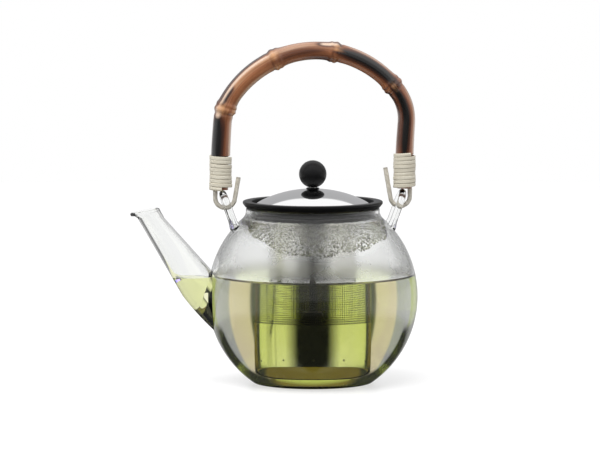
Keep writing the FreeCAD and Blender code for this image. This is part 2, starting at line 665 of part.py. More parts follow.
# Cane hooks: a shank let into the side of each handle end, a round bight and a free tail
slots = []
for side, sign in (("left", -1), ("right", 1)):
    tail = f"Dims.{side}_tail"
    tail_x = f"({HOOK_X} - Dims.hook_radius * cos(Dims.tail_lean))"
    tail_z = f"({HOOK_Z} - Dims.hook_radius * sin(Dims.tail_lean))"
    shank_top = f"({CANE_END} + Dims.hook_shank)"
    path = route(f"{side}_hook_path", [
        (f"{sign} * {SHANK_X}", shank_top),
        (f"{sign} * {SHANK_X}", HOOK_Z, "Dims.hook_radius", f"{sign} * {HOOK_X}", HOOK_Z,
         "right" if sign == 1 else "left"),
        (f"{sign} * {tail_x}", tail_z),
        (f"{sign} * ({tail_x} - {tail} * sin(Dims.tail_lean))", f"{tail_z} + {tail} * cos(Dims.tail_lean)"),
    ], IN_XZ)
    section = primitive("Circle", f"{side}_hook_ring", Radius="Dims.hook_cane_radius")
    place(section, x=f"{sign} * {SHANK_X}", z=shank_top)
    PIECES[f"{side}_hook"] = swept(f"{side}_hook", path, section)
    slot = primitive("Cylinder", f"{side}_slot", Radius="Dims.hook_cane_radius + Dims.loose_fit",
                     Height="Dims.hook_shank + Dims.overrun + Dims.seat_gap")
    place(slot, x=f"{sign} * {SHANK_X}", z=f"{CANE_END} - Dims.overrun")
    slots.append(slot)
PIECES["bamboo_handle"] = cut("bamboo_handle", whole_cane, fuse("hook_slots", slots))


def biarc(start, start_way, stop, stop_way):
    """Two arcs that join two points with the given directions."""
    chord = stop - start
    along = chord.dot(start_way + stop_way)
    bend = 2 * (1 - start_way.dot(stop_way))
    reach = (math.sqrt(along ** 2 + bend * chord.dot(chord)) - along) / bend
    first = start + start_way * reach
    second = stop - stop_way * reach
    meet = (first + second) * 0.5
    arcs = []
    for tip, apex, end in ((start, first, meet), (meet, second, stop)):
        middle = (tip + end) * 0.5
        half_turn = math.atan2((apex - middle).Length, (end - tip).Length / 2)
        top = middle + (apex - middle) * (math.tan(half_turn / 2) / math.tan(half_turn))
        arcs.append(Part.Arc(tip, top, end).toShape())
    return arcs


def binding(side, sign):
    """A rattan strand wound up round one handle end and the hook's shank."""
    strand = sheet.strand_radius
    pitch = sheet.strand_pitch
    radius = sheet.shank_offset + sheet.hook_cane_radius + sheet.strand_clearance + strand
    centre = FreeCAD.Vector(sign * value(LEG_X), 0, value(CANE_END) + strand + sheet.seat_gap)
    steps = int(sheet.binding_turns) * 4
    climb = pitch / (2 * math.pi * radius)

    def station(step):
        turn = step * math.pi / 2
        out = FreeCAD.Vector(math.cos(turn), math.sin(turn), 0)
        way = FreeCAD.Vector(-math.sin(turn), math.cos(turn), climb).normalize()
        return centre + out * radius + FreeCAD.Vector(0, 0, step * pitch / 4), way

    begin, begin_way = station(0)
    foot = begin - begin_way * (2 * strand)
    edges = [Part.LineSegment(foot, begin).toShape()]
    for step in range(steps):
        edges.extend(biarc(*station(step), *station(step + 1)))
    finish, finish_way = station(steps)
    edges.append(Part.LineSegment(finish, finish + finish_way * (2 * strand)).toShape())
    shell = Part.BRepOffsetAPI.MakePipeShell(Part.Wire(edges))
    side_way = begin_way.cross(UPRIGHT).normalize()
    rise_way = side_way.cross(begin_way)
    sides = int(sheet.strand_sides)
    corners = []
    for corner in range(sides + 1):
        turn = 2 * math.pi * corner / sides
        corners.append(foot + side_way * (strand * math.cos(turn)) + rise_way * (strand * math.sin(turn)))
    shell.add(Part.makePolygon(corners))
    shell.build()
    shell.makeSolid()
    piece = doc.addObject("Part::Feature", f"{side}_binding")
    piece.Shape = shell.shape()
    points = [station(step / 4)[0] for step in range(steps * 4 + 1)]
    near = min((p - q).Length for i, p in enumerate(points) for q in points[i + 8:i + 25])
    print(f"{side}_binding: least gap between turns {near - 2 * strand:.2f} mm")
    return piece


PIECES["left_binding"] = binding("left", -1)
PIECES["right_binding"] = binding("right", 1)

# Check every piece and write it
doc.recompute()
for item in doc.Objects:
    if "Invalid" in item.State or "Error" in item.State:
        raise RuntimeError(f"{item.Name}: {item.State}")
os.makedirs("parts", exist_ok=True)
for label, item in PIECES.items():
    item.Label = label
    shape = item.Shape
    if shape.isNull() or not shape.isValid() or len(shape.Solids) != 1:
        raise RuntimeError(f"{label} is not one valid solid")
    shape.exportStep(f"parts/{label}.step")
for name, expression in (("swing axis height", SWING_Z), ("rim", RIM), ("ledge", LEDGE), ("apex", APEX),
                         ("plate top", PLATE_TOP), ("leg", LEG_X), ("cane end", CANE_END)):
    print(f"{name} {value(expression):.2f}")
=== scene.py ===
import math
import random

import bmesh
import bpy
from mathutils import Matrix, Vector


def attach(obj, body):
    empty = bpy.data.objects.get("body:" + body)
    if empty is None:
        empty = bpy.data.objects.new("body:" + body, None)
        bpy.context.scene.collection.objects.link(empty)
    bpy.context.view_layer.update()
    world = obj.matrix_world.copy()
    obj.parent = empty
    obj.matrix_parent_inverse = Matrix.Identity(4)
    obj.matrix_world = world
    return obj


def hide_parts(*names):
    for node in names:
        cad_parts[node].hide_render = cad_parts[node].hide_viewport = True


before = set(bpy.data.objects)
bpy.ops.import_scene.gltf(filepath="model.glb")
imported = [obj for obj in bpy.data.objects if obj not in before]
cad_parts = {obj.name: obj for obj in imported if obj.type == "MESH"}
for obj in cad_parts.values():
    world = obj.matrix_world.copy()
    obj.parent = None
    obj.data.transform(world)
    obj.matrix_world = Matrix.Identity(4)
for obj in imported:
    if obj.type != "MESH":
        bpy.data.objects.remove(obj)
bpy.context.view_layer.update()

# The vessel is blown borosilicate glass: a ball with a flat foot and a short neck, a straight drawn spout
# and two loops bent from glass rod, all fused hot into one clear piece. Its upper inside is fogged by steam.
MM = 0.001
BALL_Z = 55.79
WALL_MIDDLE = 66.4
TEA_Z = 69.0


def turned(name, start, runs, steps=128):
    """Turns a profile round the pot's axis. A run is a point (r, z) to draw a line to, or a centre (r, z)
    with a turn in degrees and a count of steps to draw an arc. Millimetres."""
    bm = bmesh.new()
    tip = bm.verts.new((start[0] * MM, 0, start[1] * MM))
    for run in runs:
        if len(run) == 2:
            tip = bmesh.ops.extrude_vert_indiv(bm, verts=[tip])["verts"][0]
            tip.co = (run[0] * MM, 0, run[1] * MM)
        else:
            last = bmesh.ops.spin(bm, geom=[tip], cent=(run[0] * MM, 0, run[1] * MM), axis=(0, -1, 0),
                                  angle=math.radians(run[2]), steps=run[3])
            tip = [g for g in last["geom_last"] if isinstance(g, bmesh.types.BMVert)][0]
    bmesh.ops.spin(bm, geom=bm.verts[:] + bm.edges[:], cent=(0, 0, 0), axis=(0, 0, 1),
                   angle=2 * math.pi, steps=steps, use_merge=True)
    return finished(name, bm)


def finished(name, bm, sharp=35):
    """Closes a bmesh into an object with outward faces, smooth but for its edges."""
    bmesh.ops.remove_doubles(bm, verts=bm.verts, dist=1e-6)
    bmesh.ops.dissolve_degenerate(bm, dist=1e-7, edges=bm.edges)
    bmesh.ops.recalc_face_normals(bm, faces=bm.faces)
    mesh = bpy.data.meshes.new(name)
    bm.to_mesh(mesh)
    bm.free()
    mesh.shade_smooth()
    mesh.set_sharp_from_angle(angle=math.radians(sharp))
    piece = bpy.data.objects.new(name, mesh)
    bpy.context.scene.collection.objects.link(piece)
    return piece


def ring_frame(place, way, flat, wide=1.0, thick=1.0):
    """Frame of one ring of a drawn shape: its centre and size in millimetres, the way it faces, and a
    direction that it keeps level with."""
    way = Vector(way).normalized()
    flat = Vector(flat)
    flat = (flat - way * flat.dot(way)).normalized()
    turn = Matrix((flat.cross(way), flat, way)).transposed().to_4x4()
    return Matrix.Translation(Vector(place) * MM) @ turn @ Matrix.Diagonal((wide * MM, thick * MM, MM, 1))


def drawn(bm, frames, sides, capped=True):
    """Draws a round ring from frame to frame."""
    ring = bmesh.ops.create_circle(bm, segments=sides, radius=1, matrix=frames[0])["verts"]
    first = list({e for v in ring for e in v.link_edges})
    edges = first
    for last, following in zip(frames, frames[1:]):
        grown = bmesh.ops.extrude_edge_only(bm, edges=edges)["geom"]
        edges = [g for g in grown if isinstance(g, bmesh.types.BMEdge)]
        verts = [g for g in grown if isinstance(g, bmesh.types.BMVert)]
        bmesh.ops.transform(bm, matrix=following @ last.inverted(), verts=verts)
    if capped:
        bmesh.ops.edgeloop_fill(bm, edges=first)
        bmesh.ops.edgeloop_fill(bm, edges=edges)


def carve(piece, tool, operation):
    """Fuses a tool to a piece, or cuts it away, and discards the tool."""
    step = piece.modifiers.new("carve", "BOOLEAN")
    step.operation = operation
    step.object = tool
    step.solver = "EXACT"
    shaped = bpy.data.meshes.new_from_object(piece.evaluated_get(bpy.context.evaluated_depsgraph_get()))
    piece.modifiers.clear()
    piece.data = shaped
    bpy.data.objects.remove(tool)


def ball(name, radius):
    """A solid ball round the pot's centre, to cut seats with."""
    bm = bmesh.new()
    bmesh.ops.create_uvsphere(bm, u_segments=128, v_segments=64, radius=radius * MM,
                              matrix=Matrix.Translation((0, 0, BALL_Z * MM)))
    return finished(name, bm)


SPOUT_X, SPOUT_Z = -67.5, 57.0
SPOUT_RISE = 50.0
SPOUT_LEAN = math.radians(36.2)
SPOUT_R = 13.4
SPOUT_TAPER = 0.13
SPOUT_WALL = 1.8
SPOUT_SIDES = 96
ROOT_Z = 34
ROOT_BEND = 0.00694
LIP_Z = 111
LIP_TILT = -10


def spout_ring(height, inset, widen=0.0, tilt=0.0):
    """One level oval of the spout's leaning tube, at a height in millimetres."""
    up = height - SPOUT_Z
    x = SPOUT_X - up * math.tan(SPOUT_LEAN) + (ROOT_BEND * up * up if up < 0 else 0)
    radius = SPOUT_R - SPOUT_TAPER * max(0.0, min(up, SPOUT_RISE)) - inset
    length = radius / math.cos(SPOUT_LEAN) + widen
    place = Matrix.Translation((x * MM - widen * MM, 0, height * MM))
    tip = Matrix.Rotation(math.radians(tilt), 4, "Y")
    return place @ tip @ Matrix.Diagonal((length * MM, radius * MM, MM, 1))


def spout_form(name, inset, beyond):
    """The spout's tube from its root in the ball to its lip, which flares over the last 4 mm."""
    bm = bmesh.new()
    rings = [spout_ring(ROOT_Z + (SPOUT_Z - ROOT_Z) * i / 8, inset) for i in range(8)]
    rings += [spout_ring(SPOUT_Z + SPOUT_RISE * i / 10, inset) for i in range(11)]
    rings += [spout_ring(LIP_Z - 4 + i, inset, (i / 4) ** 2, LIP_TILT * i / 4) for i in range(1, 5)]
    rings += [spout_ring(LIP_Z + beyond, inset, 1 + 0.5 * beyond, LIP_TILT)] if beyond else []
    drawn(bm, rings, SPOUT_SIDES)
    return finished(name, bm)


vessel = turned("glass_vessel", (0, 0), [
    (20, 0), (36.74, 0), (36.74, 4, 35.35, 10), (0, BALL_Z, 102.49, 84), (50, 111.02, -47.84, 14),
    (43, 111.92), (41.9, 111.92, 180, 14), (40.8, 111.02), (50, 111.02, 47.84, 14),
    (0, BALL_Z, -100.26, 84), (36.77, 8, -37.58, 8), (20, 3), (0, 3),
], steps=176)
tube = spout_form("spout_tube", 0, 0)
carve(tube, ball("tube_seat", WALL_MIDDLE), "DIFFERENCE")
carve(vessel, tube, "UNION")
carve(vessel, spout_form("spout_bore", SPOUT_WALL, 3), "DIFFERENCE")
bm = bmesh.new()
lip = spout_ring(LIP_Z, SPOUT_WALL / 2, 1, LIP_TILT)
lip_turn = lip.to_3x3().normalized()
rim_steps = [2 * math.pi * i / SPOUT_SIDES for i in range(SPOUT_SIDES + 1)]
drawn(bm, [ring_frame(lip @ Vector((math.cos(a), math.sin(a), 0)) / MM,
                      lip.to_3x3() @ Vector((-math.sin(a), math.cos(a), 0)),
                      lip_turn @ Vector((0, 0, 1)), 1.2, 1.15) for a in rim_steps], 16, capped=False)
carve(vessel, finished("spout_rim", bm), "UNION")
LUG_ROD = 2.3
LUG_HALF = 6.5
LUG_LEGS = (-6, -3, 0, 4, 8, 12)
LUG_BEND = 16.2
lug_place = Matrix.Translation((50.3 * MM, 0, 100.8 * MM))
lug_lean = Matrix.Rotation(math.radians(20), 4, "Y")
bend = [math.pi * i / 24 for i in range(25)]
path = [(0, -LUG_HALF, h) for h in LUG_LEGS]
path += [(0, -LUG_HALF * math.cos(a), LUG_BEND + LUG_HALF * math.sin(a)) for a in bend]
path += [(0, LUG_HALF, h) for h in reversed(LUG_LEGS)]
for side in (-1, 1):
    bm = bmesh.new()
    frames = []
    for i, point in enumerate(path):
        way = Vector(path[min(i + 1, len(path) - 1)]) - Vector(path[max(i - 1, 0)])
        weld = 1 + 0.3 * max(0.0, 1 - max(0.0, point[2]) / 5) ** 2
        rod_ring = ring_frame(point, way, (1, 0, 0), LUG_ROD * weld, LUG_ROD * weld)
        frames.append(Matrix.Diagonal((side, 1, 1, 1)) @ lug_place @ lug_lean @ rod_ring)
    drawn(bm, frames, 24)
    loop = finished("lug_loop", bm)
    carve(loop, ball("lug_seat", WALL_MIDDLE), "DIFFERENCE")
    carve(vessel, loop, "UNION")
bm = bmesh.new()
bm.from_mesh(vessel.data)
bpy.data.objects.remove(vessel)
vessel = finished("glass_vessel", bm, 28)
INSIDE_BALL, INSIDE_NECK = 66.2, 41.5
MIST_GAP = 1.2


def bead_line(turn):
    """Height at which the steam gathers into drops: lowest at the front and back, high over the lugs."""
    return 87 + 18 * abs(math.cos(turn)) ** 3 + 1.1 * math.sin(5 * turn + 1) + 0.8 * math.sin(13 * turn)


vessel.data.attributes.new("steamed", "FLOAT", "POINT")
vessel.data.attributes.new("beaded", "FLOAT", "POINT")
marks = vessel.data.attributes
for v in vessel.data.vertices:
    x, y, z = v.co / MM
    inside = math.dist((x, y, z), (0, 0, BALL_Z)) < INSIDE_BALL or math.hypot(x, y) < INSIDE_NECK
    in_spout = x < -60 and z < 85 and abs(y) < 13
    if inside and not in_spout and z > TEA_Z + MIST_GAP:
        bead = min(1.0, max(0.0, (z - bead_line(math.atan2(y, x)) + 3) / 6))
        marks["steamed"].data[v.index].value = min(1.0, (z - TEA_Z - MIST_GAP) / 3) * (1 - 0.85 * bead)
        marks["beaded"].data[v.index].value = bead * min(1.0, max(0.0, (110 - z) / 4))


def new_finish(name):
    """A new material, with its nodes, its links and its shader."""
    material = bpy.data.materials.new(name)
    material.use_nodes = True
    tree = material.node_tree
    return material, tree.nodes, tree.links, tree.nodes["Principled BSDF"]


glass, nodes, links, shader = new_finish("steamed_glass")
shader.inputs["Base Color"].default_value = (0.99, 0.995, 0.99, 1)
shader.inputs["Transmission Weight"].default_value = 1
shader.inputs["IOR"].default_value = 1.47
mist = nodes.new("ShaderNodeAttribute")
mist.attribute_name = "steamed"
where = nodes.new("ShaderNodeTexCoord")
patchy = nodes.new("ShaderNodeTexNoise")
patchy.inputs["Scale"].default_value = 60
patchy.inputs["Detail"].default_value = 6
links.new(where.outputs["Object"], patchy.inputs["Vector"])
depth = nodes.new("ShaderNodeMapRange")
depth.inputs["To Min"].default_value = 0.20
depth.inputs["To Max"].default_value = 0.36
links.new(patchy.outputs["Fac"], depth.inputs["Value"])
haze = nodes.new("ShaderNodeMath")
haze.operation = "MULTIPLY"
links.new(depth.outputs["Result"], haze.inputs[0])
links.new(mist.outputs["Fac"], haze.inputs[1])
links.new(haze.outputs["Value"], shader.inputs["Roughness"])
beads = nodes.new("ShaderNodeTexVoronoi")
beads.inputs["Scale"].default_value = 1100
links.new(where.outputs["Object"], beads.inputs["Vector"])
crowd = nodes.new("ShaderNodeAttribute")
crowd.attribute_name = "beaded"
relief = nodes.new("ShaderNodeMath")
relief.operation = "MULTIPLY"
links.new(beads.outputs["Distance"], relief.inputs[0])
links.new(crowd.outputs["Fac"], relief.inputs[1])
ripple = nodes.new("ShaderNodeBump")
ripple.inputs["Strength"].default_value = 0.35
ripple.inputs["Distance"].default_value = 0.0006
links.new(relief.outputs["Value"], ripple.inputs["Height"])
links.new(ripple.outputs["Normal"], shader.inputs["Normal"])
vessel.data.materials.append(glass)
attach(vessel, "pot")
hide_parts("glass_body", "spout", "left_lug", "right_lug")

# Green tea fills the ball and the foot of the spout to one level. It wets the glass, so its edge climbs
# a little up the wall all round.
tea = turned("green_tea", (0, 2.82), [
    (20, 2.82), (36.77, 2.82), (36.77, 8, 37.58, 8), (0, BALL_Z, 65.4, 60),
    (63.6, TEA_Z + 0.25), (61.8, TEA_Z), (30, TEA_Z), (0, TEA_Z),
], steps=176)
branch = spout_form("spout_tea", 1.62, 0)
bm = bmesh.new()
bm.from_mesh(branch.data)
cut = bmesh.ops.bisect_plane(bm, geom=bm.verts[:] + bm.edges[:] + bm.faces[:], plane_co=(0, 0, TEA_Z * MM),
                             plane_no=(0, 0, 1), clear_outer=True)["geom_cut"]
bmesh.ops.edgeloop_fill(bm, edges=[g for g in cut if isinstance(g, bmesh.types.BMEdge)])
bpy.data.objects.remove(branch)
carve(tea, finished("spout_tea", bm), "UNION")
bm = bmesh.new()
bm.from_mesh(tea.data)
bpy.data.objects.remove(tea)
tea = finished("green_tea", bm, 40)
liquor, nodes, links, shader = new_finish("green_tea_liquor")
shader.inputs["Base Color"].default_value = (1, 1, 1, 1)
shader.inputs["Transmission Weight"].default_value = 1
shader.inputs["IOR"].default_value = 1.333
shader.inputs["Roughness"].default_value = 0
steep = nodes.new("ShaderNodeVolumeAbsorption")
steep.inputs["Color"].default_value = (0.765, 0.825, 0.2, 1)
steep.inputs["Density"].default_value = 20
links.new(steep.outputs["Volume"], nodes["Material Output"].inputs["Volume"])
where = nodes.new("ShaderNodeTexCoord")
swirl = nodes.new("ShaderNodeTexNoise")
swirl.inputs["Scale"].default_value = 25
links.new(where.outputs["Object"], swirl.inputs["Vector"])
still = nodes.new("ShaderNodeBump")
still.inputs["Strength"].default_value = 0.02
still.inputs["Distance"].default_value = 0.0005
links.new(swirl.outputs["Fac"], still.inputs["Height"])
links.new(still.outputs["Normal"], shader.inputs["Normal"])
tea.data.materials.append(liquor)
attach(tea, "pot")

# Drops of condensed steam hang on the inside of the shoulder and the neck, fine at the top and larger
# at the lower edge of their zone, where they run together.
DROP_COUNT = 7000
DROP_SEAT = 65.35
DROPS_TOP = 105
NECK_Z = 104.2
chance = random.Random(7)
bm = bmesh.new()
bmesh.ops.create_uvsphere(bm, u_segments=7, v_segments=4, radius=1)
cut = bmesh.ops.bisect_plane(bm, geom=bm.verts[:] + bm.edges[:] + bm.faces[:], plane_co=(0, 0, 0.01),
                             plane_no=(0, 0, 1), clear_inner=True)["geom_cut"]
bmesh.ops.edgeloop_fill(bm, edges=[g for g in cut if isinstance(g, bmesh.types.BMEdge)])
one_drop = bpy.data.meshes.new("one_drop")
bm.to_mesh(one_drop)
bm.clear()
for count in range(DROP_COUNT):
    lift = chance.random()
    turn = chance.uniform(0, 2 * math.pi)
    start = bead_line(turn)
    z = start + (DROPS_TOP - start) * lift
    size = chance.uniform(0.26, 0.44) + 0.4 * (1 - lift) * chance.random() ** 2
    radius = math.sqrt(DROP_SEAT ** 2 - (min(z, NECK_Z) - BALL_Z) ** 2)
    seat = Vector((math.cos(turn) * radius, math.sin(turn) * radius, z))
    out = (seat - Vector((0, 0, BALL_Z))).normalized()
    drop = one_drop.copy()
    drop.transform(ring_frame(seat, -out, (-out.y, out.x, 0), size * chance.uniform(0.8, 1.2), size)
                   @ Matrix.Diagonal((1, 1, 0.6 * size, 1)))
    bm.from_mesh(drop)
    bpy.data.meshes.remove(drop)
drops = finished("steam_drops", bm, 60)
water, nodes, links, shader = new_finish("condensed_water")
shader.inputs["Base Color"].default_value = (1, 1, 1, 1)
shader.inputs["Transmission Weight"].default_value = 1
shader.inputs["IOR"].default_value = 1.333
where = nodes.new("ShaderNodeTexCoord")
film = nodes.new("ShaderNodeTexNoise")
film.inputs["Scale"].default_value = 400
links.new(where.outputs["Object"], film.inputs["Vector"])
wet = nodes.new("ShaderNodeMapRange")
wet.inputs["To Max"].default_value = 0.04
links.new(film.outputs["Fac"], wet.inputs["Value"])
links.new(wet.outputs["Result"], shader.inputs["Roughness"])
drops.data.materials.append(water)
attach(drops, "pot")

# The infuser basket is drawn from thin stainless sheet, plain at the foot to hold the pressed leaves and
# punched all over above with fine square holes, with a flange that hangs it from the collar.
BASKET_IN, BASKET_OUT = 27.5, 28
BASKET_Z = 19
SIEVE_R = 27.75
SIEVE_Z = 42.6
HOLES_ROUND = 152
HOLE_ROWS = 52
HOLE_PITCH = 2 * math.pi * SIEVE_R / HOLES_ROUND
HALF_WEB = 0.24
SIEVE_SHEET = 0.4
SIEVE_TOP = SIEVE_Z + HOLE_ROWS * HOLE_PITCH
bm = bmesh.new()
bmesh.ops.create_grid(bm, x_segments=1, y_segments=HOLE_ROWS, size=0.5)
column = (Matrix.Translation((SIEVE_R * MM, 0, (SIEVE_Z + HOLE_ROWS / 2 * HOLE_PITCH) * MM))
          @ Matrix.Rotation(math.pi / 2, 4, "Z") @ Matrix.Rotation(math.pi / 2, 4, "X")
          @ Matrix.Diagonal((HOLE_PITCH * MM, HOLE_ROWS * HOLE_PITCH * MM, 1, 1)))
bmesh.ops.transform(bm, verts=bm.verts, matrix=column)
bmesh.ops.inset_individual(bm, faces=bm.faces[:], thickness=HALF_WEB * MM)
holes = [f for f in bm.faces if max(abs(v.co.y) for v in f.verts) < 0.4 * HOLE_PITCH * MM]
bmesh.ops.delete(bm, geom=holes, context="FACES")
bmesh.ops.spin(bm, geom=bm.verts[:] + bm.edges[:] + bm.faces[:], cent=(0, 0, 0), axis=(0, 0, 1),
               angle=2 * math.pi * (HOLES_ROUND - 1) / HOLES_ROUND, steps=HOLES_ROUND - 1,
               use_duplicate=True)
bmesh.ops.remove_doubles(bm, verts=bm.verts, dist=0.02 * MM)
bmesh.ops.recalc_face_normals(bm, faces=bm.faces)
bmesh.ops.solidify(bm, geom=bm.faces[:], thickness=SIEVE_SHEET * MM)
sieve = finished("basket_sieve", bm, 30)
foot = turned("basket_foot", (BASKET_IN, BASKET_Z), [
    (BASKET_OUT, BASKET_Z), (BASKET_OUT, 30), (BASKET_OUT, SIEVE_Z), (BASKET_IN, SIEVE_Z), (BASKET_IN, 30),
    (BASKET_IN, BASKET_Z),
])
flange = turned("basket_flange", (BASKET_IN, SIEVE_TOP), [
    (BASKET_OUT, SIEVE_TOP), (BASKET_OUT, 110.12), (29.5, 110.12, -90, 8), (37.15, 111.62),
    (37.15, 112.12), (29.5, 112.12), (29.5, 110.12, 90, 8), (BASKET_IN, SIEVE_TOP),
])


def worn_group():
    """Rub marks and finger haze of a polished or moulded surface, as a roughness and a height."""
    tree = bpy.data.node_groups.new("handling_marks", "ShaderNodeTree")
    tree.interface.new_socket("Vector", in_out="INPUT", socket_type="NodeSocketVector")
    for title, value in (("Smoothest", 0.05), ("Roughest", 0.2), ("Scale", 80.0)):
        tree.interface.new_socket(title, in_out="INPUT", socket_type="NodeSocketFloat").default_value = value
    tree.interface.new_socket("Roughness", in_out="OUTPUT", socket_type="NodeSocketFloat")
    tree.interface.new_socket("Height", in_out="OUTPUT", socket_type="NodeSocketFloat")
    given, made = tree.nodes.new("NodeGroupInput"), tree.nodes.new("NodeGroupOutput")
    haze = tree.nodes.new("ShaderNodeTexNoise")
    haze.inputs["Detail"].default_value = 5
    tree.links.new(given.outputs["Vector"], haze.inputs["Vector"])
    tree.links.new(given.outputs["Scale"], haze.inputs["Scale"])
    spread = tree.nodes.new("ShaderNodeMapRange")
    spread.inputs["From Min"].default_value = 0.3
    spread.inputs["From Max"].default_value = 0.7
    tree.links.new(haze.outputs["Fac"], spread.inputs["Value"])
    tree.links.new(given.outputs["Smoothest"], spread.inputs["To Min"])
    tree.links.new(given.outputs["Roughest"], spread.inputs["To Max"])
    tree.links.new(spread.outputs["Result"], made.inputs["Roughness"])
    tree.links.new(haze.outputs["Fac"], made.inputs["Height"])
    return tree


handling_marks = worn_group()


def rubbed(nodes, links, shader, smoothest, roughest, scale, bump):
    """Places the handling marks on a finish."""
    where = nodes.new("ShaderNodeTexCoord")
    marks = nodes.new("ShaderNodeGroup")
    marks.node_tree = handling_marks
    marks.inputs["Smoothest"].default_value = smoothest
    marks.inputs["Roughest"].default_value = roughest
    marks.inputs["Scale"].default_value = scale
    links.new(where.outputs["Object"], marks.inputs["Vector"])
    links.new(marks.outputs["Roughness"], shader.inputs["Roughness"])
    dent = nodes.new("ShaderNodeBump")
    dent.inputs["Strength"].default_value = bump
    dent.inputs["Distance"].default_value = 0.0003
    links.new(marks.outputs["Height"], dent.inputs["Height"])
    links.new(dent.outputs["Normal"], shader.inputs["Normal"])
    return marks


sheet_steel, nodes, links, shader = new_finish("basket_sheet_steel")
shader.inputs["Base Color"].default_value = (0.78, 0.77, 0.74, 1)
shader.inputs["Metallic"].default_value = 1
rubbed(nodes, links, shader, 0.08, 0.16, 120, 0.03)
# Painted shade: the basket's inward faces are near-black steel, which stands in for the shade inside the
# basket.
painted_inside_shade, nodes, links, shader = new_finish("basket_inside_painted_shade")
shader.inputs["Base Color"].default_value = (0.035, 0.03, 0.018, 1)
shader.inputs["Metallic"].default_value = 1
rubbed(nodes, links, shader, 0.35, 0.55, 200, 0.1)
# Faces that look in towards the axis take the painted shade.
for piece in (sieve, foot, flange):
    piece.data.materials.append(sheet_steel)
    piece.data.materials.append(painted_inside_shade)
    for face in piece.data.polygons:
        if face.normal.x * face.center.x + face.normal.y * face.center.y < -0.5 * face.center.xy.length:
            face.material_index = 1
    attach(piece, "infuser")
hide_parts("filter_basket")

# A pressed steel cup is spot-welded into the foot of the basket and closes it. The welds show as a row of
# small dimples round the wall.
cap = turned("filter_cap_cup", (0, BASKET_Z), [
    (25.95, BASKET_Z), (25.95, 20.5, 90, 8), (27.45, 25), (26.95, 25), (26.95, 20.5),
    (26.05, 20.5, -90, 6), (0, 19.6),
])
cap.data.materials.append(sheet_steel)
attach(cap, "infuser")
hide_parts("filter_cap")
WELD_COUNT = 10
WELD_Z = 23
WELD_R = 0.6
flattened = Matrix.Diagonal((1, 1, 0.25, 1))
bm = bmesh.new()
for i in range(WELD_COUNT):
    turn = 2 * math.pi * (i + 0.35) / WELD_COUNT
    x, y = math.cos(turn), math.sin(turn)
    weld = ring_frame((BASKET_OUT * x, BASKET_OUT * y, WELD_Z), (x, y, 0), (0, 0, 1)) @ flattened
    bmesh.ops.create_uvsphere(bm, u_segments=12, v_segments=6, radius=WELD_R, matrix=weld)
welds = finished("cap_welds", bm)
weld_steel, nodes, links, shader = new_finish("weld_mark_steel")
shader.inputs["Base Color"].default_value = (0.3, 0.29, 0.27, 1)
shader.inputs["Metallic"].default_value = 1
rubbed(nodes, links, shader, 0.25, 0.4, 500, 0.1)
welds.data.materials.append(weld_steel)
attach(welds, "infuser")

# The collar is moulded in black plastic: its lip lies on the glass rim, its skirt goes down into the neck,
# and its ledge carries the lid. A soft ring in the skirt's groove grips the glass.
collar = turned("neck_collar", (39.6, 117.22), [
    (39.3, 116.9), (39.0, 114.32), (33.6, 114.32), (33.6, 112.12), (37.3, 112.12), (37.3, 105.32),
    (39.9, 105.32), (39.9, 107.82), (38.6, 107.82), (38.6, 110.82), (39.9, 110.82), (39.9, 113.32),
    (43.2, 113.32), (45, 115.62), (45, 116.42), (44.2, 116.42, 90, 8), (39.6, 117.22),
])
round_over = collar.modifiers.new("moulded_edges", "BEVEL")
round_over.width = 0.25 * MM
round_over.segments = 3
round_over.limit_method = "ANGLE"
round_over.angle_limit = math.radians(30)
black_plastic, nodes, links, shader = new_finish("moulded_black_plastic")
shader.inputs["Base Color"].default_value = (0.007, 0.007, 0.0075, 1)
shader.inputs["Specular IOR Level"].default_value = 0.12
rubbed(nodes, links, shader, 0.28, 0.42, 260, 0.06)
collar.data.materials.append(black_plastic)
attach(collar, "infuser")
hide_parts("filter_collar")

seal = turned("neck_seal_ring", (38.65, 107.92), [
    (40.0, 107.92), (40.5, 109.32), (40.0, 110.72), (38.65, 110.72), (38.65, 107.92),
])
soft_black, nodes, links, shader = new_finish("soft_black_silicone")
shader.inputs["Base Color"].default_value = (0.025, 0.025, 0.026, 1)
rubbed(nodes, links, shader, 0.5, 0.7, 400, 0.1)
seal.data.materials.append(soft_black)
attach(seal, "infuser")
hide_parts("neck_seal")

# The plunger is a steel rod with a plastic pressing plate screwed to its end, its steel coloured dark brown
# from 100 mm down.
# A soft gasket round the plate wipes the basket, and a hexagon nut holds the plate from below.
rod = turned("plunger_stem", (0, 36), [
    (1.4, 36), (1.8, 36.4), (1.8, 48), (2.2, 48), (2.2, 132.42), (1.8, 132.82), (0, 132.82),
], steps=48)


def blended(nodes, links, amount, below, above):
    """Mixes two colours, either of them a socket or plain red, green and blue."""
    mix = nodes.new("ShaderNodeMix")
    mix.data_type = "RGBA"
    links.new(amount, mix.inputs["Factor"])
    for socket, colour in ((mix.inputs["A"], below), (mix.inputs["B"], above)):
        if isinstance(colour, tuple):
            socket.default_value = (*colour, 1)
        else:
            links.new(colour, socket)
    return mix.outputs["Result"]


def stepped(nodes, links, value, low, high):
    """Stretches part of a value's range to 0 and 1."""
    span = nodes.new("ShaderNodeMapRange")
    span.inputs["From Min"].default_value = low
    span.inputs["From Max"].default_value = high
    links.new(value, span.inputs["Value"])
    return span.outputs["Result"]


def overlaid(nodes, links, under, value, low, high, over):
    """Lays one colour over another where a value goes from low to high."""
    return blended(nodes, links, stepped(nodes, links, value, low, high), under, over)


